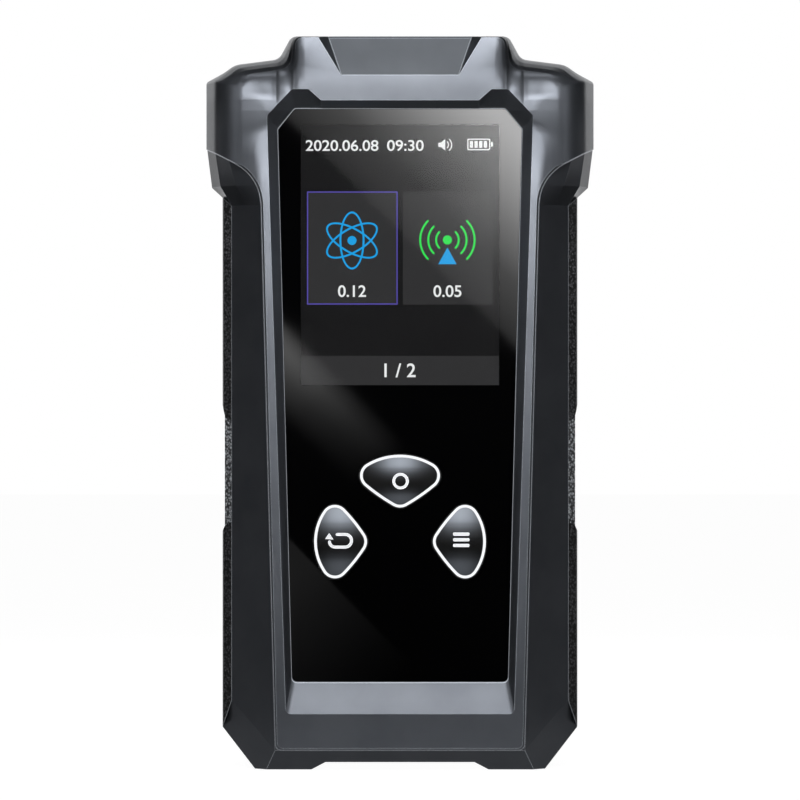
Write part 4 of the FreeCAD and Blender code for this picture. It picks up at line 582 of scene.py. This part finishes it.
# The mast on the right tile: waves to both sides of a point over a triangle.
MAST_X, MAST_Z = 8.8 * MM, 98.2 * MM
on_panel(cut_sheet("mast_point", [arc(MAST_X, MAST_Z, 0.84 * MM, 0, 360)[:-1]], LIT_GREEN))
for number, radius in enumerate((2.1 * MM, 3.55 * MM, 5.05 * MM)):
    for side, middle in (("right", 0), ("left", 180)):
        on_panel(cut_sheet(f"mast_wave_{side}_{number}", [stroke(
            arc(MAST_X, MAST_Z, radius, middle - 44, middle + 44, count=24), STROKE)], LIT_GREEN))
on_panel(cut_sheet("mast_foot", [[(MAST_X, 96.8 * MM), (MAST_X - 1.7 * MM, 93.7 * MM),
                                  (MAST_X + 1.7 * MM, 93.7 * MM)]], LIT_BLUE))

# Readings under the two marks, and the bar with the page number.
READING_HALF, READING_LOW, READING_HIGH = 2.6 * MM, 87.6 * MM, 89.8 * MM
for name, reading, middle in (("left_reading", "0.12", ATOM_X), ("right_reading", "0.05", MAST_X)):
    figures(name, reading, middle - READING_HALF, middle + READING_HALF, READING_LOW, READING_HIGH)
on_panel(cut_sheet("page_bar", [round_box(-18.35 * MM, 18.35 * MM, 71.3 * MM, 76.7 * MM,
                                          0.05 * MM)], LIT_TILE, LIT_FACE + SHEET))
figures("page_figures", "1 / 2", -2.9 * MM, 2.9 * MM, 72.7 * MM, 75.3 * MM)

# ---- Keys -------------------------------------------------------------------
# Three domed keys in gloss black acrylic, each in a bright white rim pressed round it.
# The marks are printed white on the dome. A silicone pusher behind each works its switch.
def key_gloss_painted_highlight(name):
    """Gloss black with a painted highlight: a soft glow near the top and bottom of the domed cap, in place
    of the light it would gather there.
    """
    made = surface(f"{name} gloss", (9, 9, 10), (13, 13, 14), grain=3 * MM, depth=0.0005 * MM,
                   rough=(0.34, 0.4), Specular_IOR_Level=0.3)
    tree = made.node_tree
    low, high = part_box(name)
    middle, half = (low + high) / 2, (high.z - low.z) / 2
    spot = place_of(tree)
    # The painted highlight: strongest high on the cap, weak low on it, fading to the sides.
    up = math_of(tree, "MULTIPLY", math_of(tree, "SUBTRACT", spot["Z"], middle.z), MM / half)
    aside = math_of(tree, "ABSOLUTE", math_of(tree, "SUBTRACT", spot["X"], middle.x))
    rows = graph(tree, up, (-1, 0.16), (-0.7, 0.2), (-0.4, 0.05), (-0.1, 0), (0.15, 0.06), (0.5, 0.5),
                 (0.8, 1), (1, 0.8))
    columns = graph(tree, aside, (0, 1), (1.5, 0.85), (3, 0.5), (4.5, 0.2), (7, 0))
    glow = math_of(tree, "MULTIPLY", math_of(tree, "DIVIDE", rows, MM),
                   math_of(tree, "DIVIDE", columns, MM))
    shader = tree.nodes["Principled BSDF"]
    shader.inputs["Emission Color"].default_value = shade(157, 164, 174)
    tree.links.new(glow, shader.inputs["Emission Strength"])
    return made


# The white of the painted glow on the key rims and printed marks.
PAINTED_GLOW_WHITE = shade(250, 252, 255)
FRONT_FACE, TURNED_AWAY = -0.985, -0.93


def rim_painted_glow():
    """A dark rim whose front face glows as a bright white line: a painted glow for the white rim, with
    painted shade on its sides and rounded edges.
    """
    made = surface("rim white", (30, 31, 32), (40, 41, 42), rough=(0.2, 0.28))
    tree = made.node_tree
    rounded = tree.nodes.new("ShaderNodeBevel")
    rounded.samples = 8
    rounded.inputs["Radius"].default_value = 0.07 * MM
    facing = tree.nodes.new("ShaderNodeSeparateXYZ")
    line = tree.nodes.new("ShaderNodeMapRange")
    line.inputs["From Min"].default_value = TURNED_AWAY
    line.inputs["From Max"].default_value = FRONT_FACE
    tree.links.new(rounded.outputs["Normal"], facing.inputs[0])
    tree.links.new(facing.outputs["Y"], line.inputs["Value"])
    above = math_of(tree, "LESS_THAN", place_of(tree)["Y"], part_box("ok_key_rim")[0].y + 0.1 * MM)
    shader = tree.nodes["Principled BSDF"]
    shader.inputs["Emission Color"].default_value = PAINTED_GLOW_WHITE
    tree.links.new(math_of(tree, "MULTIPLY", line.outputs["Result"], above),
                   shader.inputs["Emission Strength"])
    return made


# The printed marks are white, with a painted glow that makes them brighter than the light on them.
print_white = surface("print white", (232, 234, 236), (240, 242, 244), rough=(0.4, 0.5))
print_shader = print_white.node_tree.nodes["Principled BSDF"]
print_shader.inputs["Emission Color"].default_value = PAINTED_GLOW_WHITE
print_shader.inputs["Emission Strength"].default_value = 0.6
# Each key cap gets its own painted highlight.
for cap in ("ok_key_cap", "back_key_cap", "menu_key_cap"):
    dress(cap, key_gloss_painted_highlight(cap))
# The rims: a painted glow on their front faces and painted shade on their sides.
dress("ok_key_rim back_key_rim menu_key_rim", rim_painted_glow())
dress("ok_key_pusher back_key_pusher menu_key_pusher",
      surface("silicone", (196, 198, 200), (208, 210, 212), rough=(0.5, 0.6)))
dress("ok_switch_body back_switch_body menu_switch_body",
      surface("switch black", (22, 22, 23), (30, 30, 31), rough=(0.4, 0.5)))
dress("ok_switch_plunger back_switch_plunger menu_switch_plunger",
      surface("plunger brown", (92, 58, 40), (104, 68, 48), rough=(0.4, 0.5)))


def on_key(name, key, outlines):
    """A mark printed on a key's dome."""
    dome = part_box(f"{key}_cap")[0].y
    piece = cut_sheet(name, outlines, print_white, dome - 0.015 * MM, 0.12 * MM)
    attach(piece, key)


OK_X, OK_Z = 0.1 * MM, 53.5 * MM
on_key("ok_ring_mark", "ok_key", [arc(OK_X, OK_Z, 1.52 * MM, 0, 360, count=48)[:-1],
                                  arc(OK_X, OK_Z, 1.0 * MM, 0, 360, count=48)[:-1]])
PEN = 0.55 * MM
BACK_TOP, BACK_LOW = 43.65 * MM, 41.3 * MM
BACK_BEND = (BACK_TOP - BACK_LOW) / 2
on_key("back_arrow_mark", "back_key", [stroke(
    [(-11.6 * MM, BACK_TOP)] + arc(-10.15 * MM, BACK_TOP - BACK_BEND, BACK_BEND, 90, -90, count=20)
    + [(-12.0 * MM, BACK_LOW)] + arc(-12.0 * MM, BACK_LOW + 1.05 * MM, 1.05 * MM, 270, 185, count=10),
    PEN)])
on_key("back_arrow_head", "back_key", [[(-13.85 * MM, 42.8 * MM), (-13.1 * MM, 43.9 * MM),
                                        (-12.3 * MM, 42.7 * MM)]])
for number, height in enumerate((43.7 * MM, 42.65 * MM, 41.6 * MM)):
    on_key(f"menu_bar_mark_{number}", "menu_key", [round_box(
        9.8 * MM, 12.85 * MM, height - 0.3 * MM, height + 0.3 * MM, 0.25 * MM)])

# ---- Main board -------------------------------------------------------------
# Green glass-epoxy laminate with its chips, a tin-plated shield can over the field amplifier,
# and the screws that hold it to the posts of the front shell.
dress("main_board", surface("board laminate", (16, 66, 38), (22, 78, 46), patch=4 * MM,
                            rough=(0.3, 0.42)))
dress("board_chips", surface("chip black", (22, 22, 24), (32, 32, 34), rough=(0.45, 0.6)))
dress("shield_can", surface("tin plate", (168, 170, 172), (190, 192, 194), rough=(0.22, 0.36),
                            Metallic=1.0))
steel = surface("zinc steel", (148, 150, 154), (172, 174, 178), patch=2 * MM, rough=(0.24, 0.38),
                Metallic=1.0)
dress("board_screws", steel)
# A painted shadow for the cross recesses of the screws.
recess_painted_shadow = surface("recess shadow", (14, 14, 15), (22, 22, 23), grain=0.1 * MM, rough=(0.6, 0.7))


ONE_SCREW = 6 * MM


def cross_recesses(node, arm, blade):
    """The cross recess in each screw's head, as a thin dark cross on its back: a painted shadow in place of
    the hollow.
    """
    points = [vertex.co for vertex in nodes[node].data.vertices]
    screws = []
    for point in points:
        if all(math.hypot(point.x - other.x, point.z - other.z) >= ONE_SCREW for other in screws):
            screws.append(point)
    for number, start in enumerate(screws):
        screw = [v for v in points if math.hypot(start.x - v.x, start.z - v.z) < ONE_SCREW]
        x = (min(v.x for v in screw) + max(v.x for v in screw)) / 2
        z = (min(v.z for v in screw) + max(v.z for v in screw)) / 2
        back = max(v.y for v in screw)
        cross = [(x + a * arm if abs(a) > 0.5 else x + a * blade,
                  z + b * arm if abs(b) > 0.5 else z + b * blade) for a, b in (
                      (1, 0.5), (0.5, 0.5), (0.5, 1), (-0.5, 1), (-0.5, 0.5), (-1, 0.5),
                      (-1, -0.5), (-0.5, -0.5), (-0.5, -1), (0.5, -1), (0.5, -0.5), (1, -0.5))]
        piece = cut_sheet(f"{node}_recess_{number}", [cross], recess_painted_shadow, back - 0.02 * MM,
                          0.04 * MM)
        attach(piece, "housing")


cross_recesses("board_screws", 1.1 * MM, 0.5 * MM)

# ---- Geiger tube and its supply ---------------------------------------------
# A glass tube with a dark coating between two metal end caps, held in spring bronze clips.
# A ferrite transformer and two film capacitors make its high voltage.
dress("gm_tube", surface("tube glass", (44, 36, 30), (62, 52, 42), rough=(0.06, 0.12),
                         Coat_Weight=1.0))
dress("tube_end_caps", steel)
dress("tube_clips", surface("spring bronze", (168, 120, 70), (188, 138, 84), rough=(0.24, 0.36),
                            Metallic=1.0))
ferrite = surface("ferrite", (42, 42, 44), (58, 58, 60), rough=(0.5, 0.7))
dress("hv_transformer", ferrite)
dress("hv_capacitors", surface("capacitor blue", (28, 66, 132), (38, 80, 150), rough=(0.3, 0.4)))

# ---- Field sensor -----------------------------------------------------------
# A small board behind the window carries a ferrite core wound with enamelled copper wire,
# which picks up the electromagnetic field.
dress("sensor_board", surface("sensor laminate", (16, 62, 38), (22, 74, 46), patch=3 * MM,
                              rough=(0.3, 0.42)))
dress("field_coil_core", ferrite)
dress("field_coil_winding", surface("copper wire", (166, 84, 44), (190, 104, 58), grain=0.3 * MM,
                                    depth=0.05 * MM, rough=(0.2, 0.32), Metallic=1.0))

# ---- Battery ----------------------------------------------------------------
# A foil pouch cell bedded on a foam pad in the rear shell.
# Its leads end in a small plug on the board.
dress("battery_cell", surface("cell foil", (176, 178, 182), (196, 198, 202), patch=5 * MM,
                              grain=0.8 * MM, depth=0.03 * MM, rough=(0.28, 0.42), Metallic=0.9))
dress("battery_foam", surface("foam", (38, 38, 40), (52, 52, 54), grain=0.4 * MM,
                              depth=0.15 * MM, rough=(0.85, 0.95)))
dress("battery_connector", surface("plug white", (218, 216, 206), (230, 228, 218),
                                   rough=(0.35, 0.45)))
dress("battery_leads", surface("lead insulation", (150, 22, 20), (166, 30, 26), rough=(0.35, 0.45)))

# ---- Sound, vibration and charging ------------------------------------------
# A small speaker faces the sound holes, a round motor shakes the case for an alarm, and a
# steel charging socket sits in the bottom edge.
dress("speaker vibration_motor usb_socket", steel)

# ---- Case screws ------------------------------------------------------------
# Self-tapping steel screws, sunk in the rear shell and driven from the back: four into bosses
# of the front shell and two, in the head, into bosses of the bezel.
dress("case_screws", steel)
cross_recesses("case_screws", 1.25 * MM, 0.55 * MM)

# ---- Studio -----------------------------------------------------------------
# A pale floor and a white surround. Soft lights hang over the front, and one stands behind at
# each side. Dark cloths and bright cards are there only for what the glass and metal mirror.
world = bpy.data.worlds.new("studio")
bpy.context.scene.world = world
world.use_nodes = True
sky = world.node_tree
backdrop = sky.nodes["Background"]


def looked_at(tree):
    """1 for a ray from the camera, by way of a mirror or clear glass too, and 0 for light."""
    rays = tree.nodes.new("ShaderNodeLightPath").outputs
    mirrored = math_of(tree, "MAXIMUM", rays["Is Camera Ray"], rays["Is Glossy Ray"])
    return math_of(tree, "MAXIMUM", mirrored, rays["Is Transmission Ray"])


level = sky.nodes.new("ShaderNodeMapRange")
level.inputs["To Min"].default_value = 0.05
sky.links.new(looked_at(sky), level.inputs["Value"])
sky.links.new(level.outputs["Result"], backdrop.inputs["Strength"])
backdrop.inputs["Color"].default_value = (1, 1, 1, 1)


def flat_mesh(name, corners, finish):
    """A flat four-cornered piece of studio."""
    mesh = bpy.data.meshes.new(name)
    mesh.from_pydata(corners, [], [(0, 1, 2, 3)])
    mesh.materials.append(finish)
    piece = bpy.data.objects.new(name, mesh)
    bpy.context.scene.collection.objects.link(piece)
    return piece


def level_corners(half, front, back, height):
    """The corners of a level sheet that reaches as far to the left as to the right."""
    return [(-half, front, height), (half, front, height), (half, back, height),
            (-half, back, height)]


floor_white = surface("floor", (124, 124, 124), (130, 130, 130), patch=80 * MM, rough=(0.8, 0.9),
                      Specular_IOR_Level=0.0)
floor_tree = floor_white.node_tree
floor_shader = floor_tree.nodes["Principled BSDF"]
floor_shader.inputs["Emission Color"].default_value = (1, 1, 1, 1)
floor_tree.links.new(math_of(floor_tree, "MULTIPLY", looked_at(floor_tree), 0.97),
                     floor_shader.inputs["Emission Strength"])
FLOOR_HALF, FLOOR_Z = 3, -0.2 * MM
flat_mesh("studio_floor", level_corners(FLOOR_HALF, -FLOOR_HALF, FLOOR_HALF, FLOOR_Z), floor_white)


def mirror_card(name, corners, finish):
    """A card that only reflections show."""
    card = flat_mesh(name, corners, finish)
    card.visible_camera = False
    card.visible_diffuse = False
    card.visible_transmission = False
    card.visible_shadow = False
    card.visible_volume_scatter = False


def card_glow(name, strength, *fades):
    """A card's light. Each fade is two points and the brightness at steps between them."""
    made = bpy.data.materials.new(name)
    made.use_nodes = True
    tree = made.node_tree
    tree.nodes.remove(tree.nodes["Principled BSDF"])
    glow = tree.nodes.new("ShaderNodeEmission")
    glow.inputs["Strength"].default_value = strength
    tree.links.new(glow.outputs[0], tree.nodes["Material Output"].inputs["Surface"])
    level = None
    for start, end, stops in fades:
        run = Vector(end) - Vector(start)
        place = tree.nodes.new("ShaderNodeTexCoord")
        offset = tree.nodes.new("ShaderNodeVectorMath")
        offset.operation = "SUBTRACT"
        offset.inputs[1].default_value = start
        along = tree.nodes.new("ShaderNodeVectorMath")
        along.operation = "DOT_PRODUCT"
        along.inputs[1].default_value = run / run.length_squared
        fade = tree.nodes.new("ShaderNodeValToRGB")
        ramp = fade.color_ramp.elements
        while len(ramp) < len(stops):
            ramp.new(0.5)
        for element, (at, bright) in zip(ramp, stops):
            element.position = at
            element.color = (bright, bright, bright, 1)
        tree.links.new(place.outputs["Object"], offset.inputs[0])
        tree.links.new(offset.outputs["Vector"], along.inputs[0])
        tree.links.new(along.outputs["Value"], fade.inputs["Fac"])
        colour = fade.outputs["Color"]
        level = colour if level is None else math_of(tree, "MULTIPLY", level, colour)
    if level is not None:
        tree.links.new(level, glow.inputs["Color"])
    return made


BLACK_CLOTH = card_glow("black cloth", 0.0)
TENT_RADIUS, TENT_LOW, TENT_HIGH = 1.4, -0.3, 0.9
TENT_ANGLES = [-156, -144] + [-126 + 18 * i for i in range(15)] + [144, 156]
GREY_CLOTHS = {45: card_glow("grey cloth", 1.0), 63: card_glow("dim cloth", 0.4)}
for number, (start, end) in enumerate(zip(TENT_ANGLES, TENT_ANGLES[1:])):
    sides = [(TENT_RADIUS * math.sin(math.radians(a)), -TENT_RADIUS * math.cos(math.radians(a)))
             for a in (start, end)]
    mirror_card(f"black_cloth_{number}", [
        (*sides[0], TENT_LOW), (*sides[1], TENT_LOW), (*sides[1], TENT_HIGH),
        (*sides[0], TENT_HIGH)], GREY_CLOTHS.get(abs(start + end) / 2, BLACK_CLOTH))
mirror_card("black_cloth_floor", level_corners(1.2, -1.4, 0.3, 0), BLACK_CLOTH)
# A dim card lies just over the floor, for what the lower bevels mirror.
mirror_card("floor_glow", level_corners(70 * MM, -40 * MM, 5 * MM, 0.1 * MM),
            card_glow("floor glow", 0.3))
mirror_card("black_cloth_roof", level_corners(1.4, -1.4, 1.2, TENT_HIGH), BLACK_CLOTH)

# The window mirrors three soft cards, each with a slanting edge. Two hang behind the camera,
# and the low one hangs nearer, before it.
GLASS_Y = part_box("display_window")[0].y
CARD_Y = -1.3
LENS, SENSOR = 250.0, 36.0
EYE_Z, EYE_NEAR, VIEW_SIZE = 68.5 * MM, 8 * MM, 148.8 * MM
EYE_Y = 2 * GLASS_Y + EYE_NEAR + VIEW_SIZE * LENS / SENSOR


def mirrored_at(x, z, depth=CARD_Y):
    """Where a card hangs for the camera to see it mirrored at that place on the glass."""
    reach = (EYE_Y - depth) / (EYE_Y - GLASS_Y)
    return (x * MM * reach, depth, EYE_Z + (z * MM - EYE_Z) * reach)


def slanted(name, spots, finish, depth=CARD_Y):
    """A card whose mirror image has these corners on the glass."""
    mirror_card(name, [mirrored_at(*spot, depth) for spot in spots], finish)


HIGH_EDGE = 99.8
slanted("high_card", [(HIGH_EDGE - 126, 126), (HIGH_EDGE - 64, 64), (36, 64), (36, 126)], card_glow(
    "high card", 11.0, (mirrored_at(0, HIGH_EDGE), mirrored_at(19.8, HIGH_EDGE + 19.8), [
        (0.0, 0.05), (0.3, 0.14), (0.53, 0.36), (0.76, 0.66), (1.0, 1.0)])))
MIDDLE_EDGE = 61.8
slanted("middle_card", [(-25, MIDDLE_EDGE + 25), (-25, 60), (-5, 46), (8, MIDDLE_EDGE - 8)], card_glow(
    "middle card", 2.4,
    (mirrored_at(0, MIDDLE_EDGE), mirrored_at(-9.2, MIDDLE_EDGE - 9.2), [
        (0.0, 0.0), (0.12, 0.55), (0.3, 1.0), (0.6, 0.45), (1.0, 0.0)]),
    (mirrored_at(-20.5, 79.7), mirrored_at(0.7, 58.5), [
        (0.0, 1.0), (0.2, 0.75), (0.4, 0.38), (0.6, 0.2), (0.82, 0.09), (1.0, 0.0)])))
LOW_EDGE, LOW_DEPTH = 20.9, -0.25
slanted("low_card", [(-24, LOW_EDGE + 25.5), (-24, 14.5), (6.4, 14.5), (6.4, 15)], card_glow(
    "low card", 0.24, (mirrored_at(-19, 36, LOW_DEPTH), mirrored_at(0, 17, LOW_DEPTH), [
        (0.0, 1.0), (0.25, 0.6), (0.5, 0.32), (0.75, 0.12), (1.0, 0.0)])), LOW_DEPTH)


def soft_light(name, place, aim, wide, tall, power, beam=180):
    """A soft box that faces a point on the object, with a beam so many degrees wide."""
    lamp = bpy.data.lights.new(name, "AREA")
    lamp.shape = "RECTANGLE"
    lamp.size, lamp.size_y = wide, tall
    lamp.energy = power
    lamp.spread = math.radians(beam)
    stand = bpy.data.objects.new(name, lamp)
    bpy.context.scene.collection.objects.link(stand)
    stand.location = place
    stand.rotation_euler = (Vector(aim) - Vector(place)).to_track_quat("-Z", "Y").to_euler()


soft_light("front_light", (0, -0.52, 0.32), (0, 0, 0.14), 0.4, 0.16, 0.165, 44)
soft_light("fill_light", (0, -0.6, 0.3), (0, 0, 0.07), 0.5, 0.3, 0.25)
soft_light("top_light", (0, -0.12, 0.62), (0, 0, 0.1), 0.4, 0.3, 0.15, 90)
soft_light("left_light", (-0.25, 0.5, 0.1), (0, 0, 0.07), 0.1, 0.5, 0.15)
soft_light("right_light", (0.25, 0.5, 0.1), (0, 0, 0.07), 0.1, 0.5, 0.15)

camera_data = bpy.data.cameras.new("camera")
camera_data.lens = LENS
camera_data.sensor_width = SENSOR
camera = bpy.data.objects.new("camera", camera_data)
bpy.context.scene.collection.objects.link(camera)
camera.location = (0, 2 * GLASS_Y - EYE_Y, EYE_Z)
camera.rotation_euler = (math.radians(90), 0, 0)
bpy.context.scene.camera = camera
bpy.context.scene.view_settings.view_transform = "Standard"
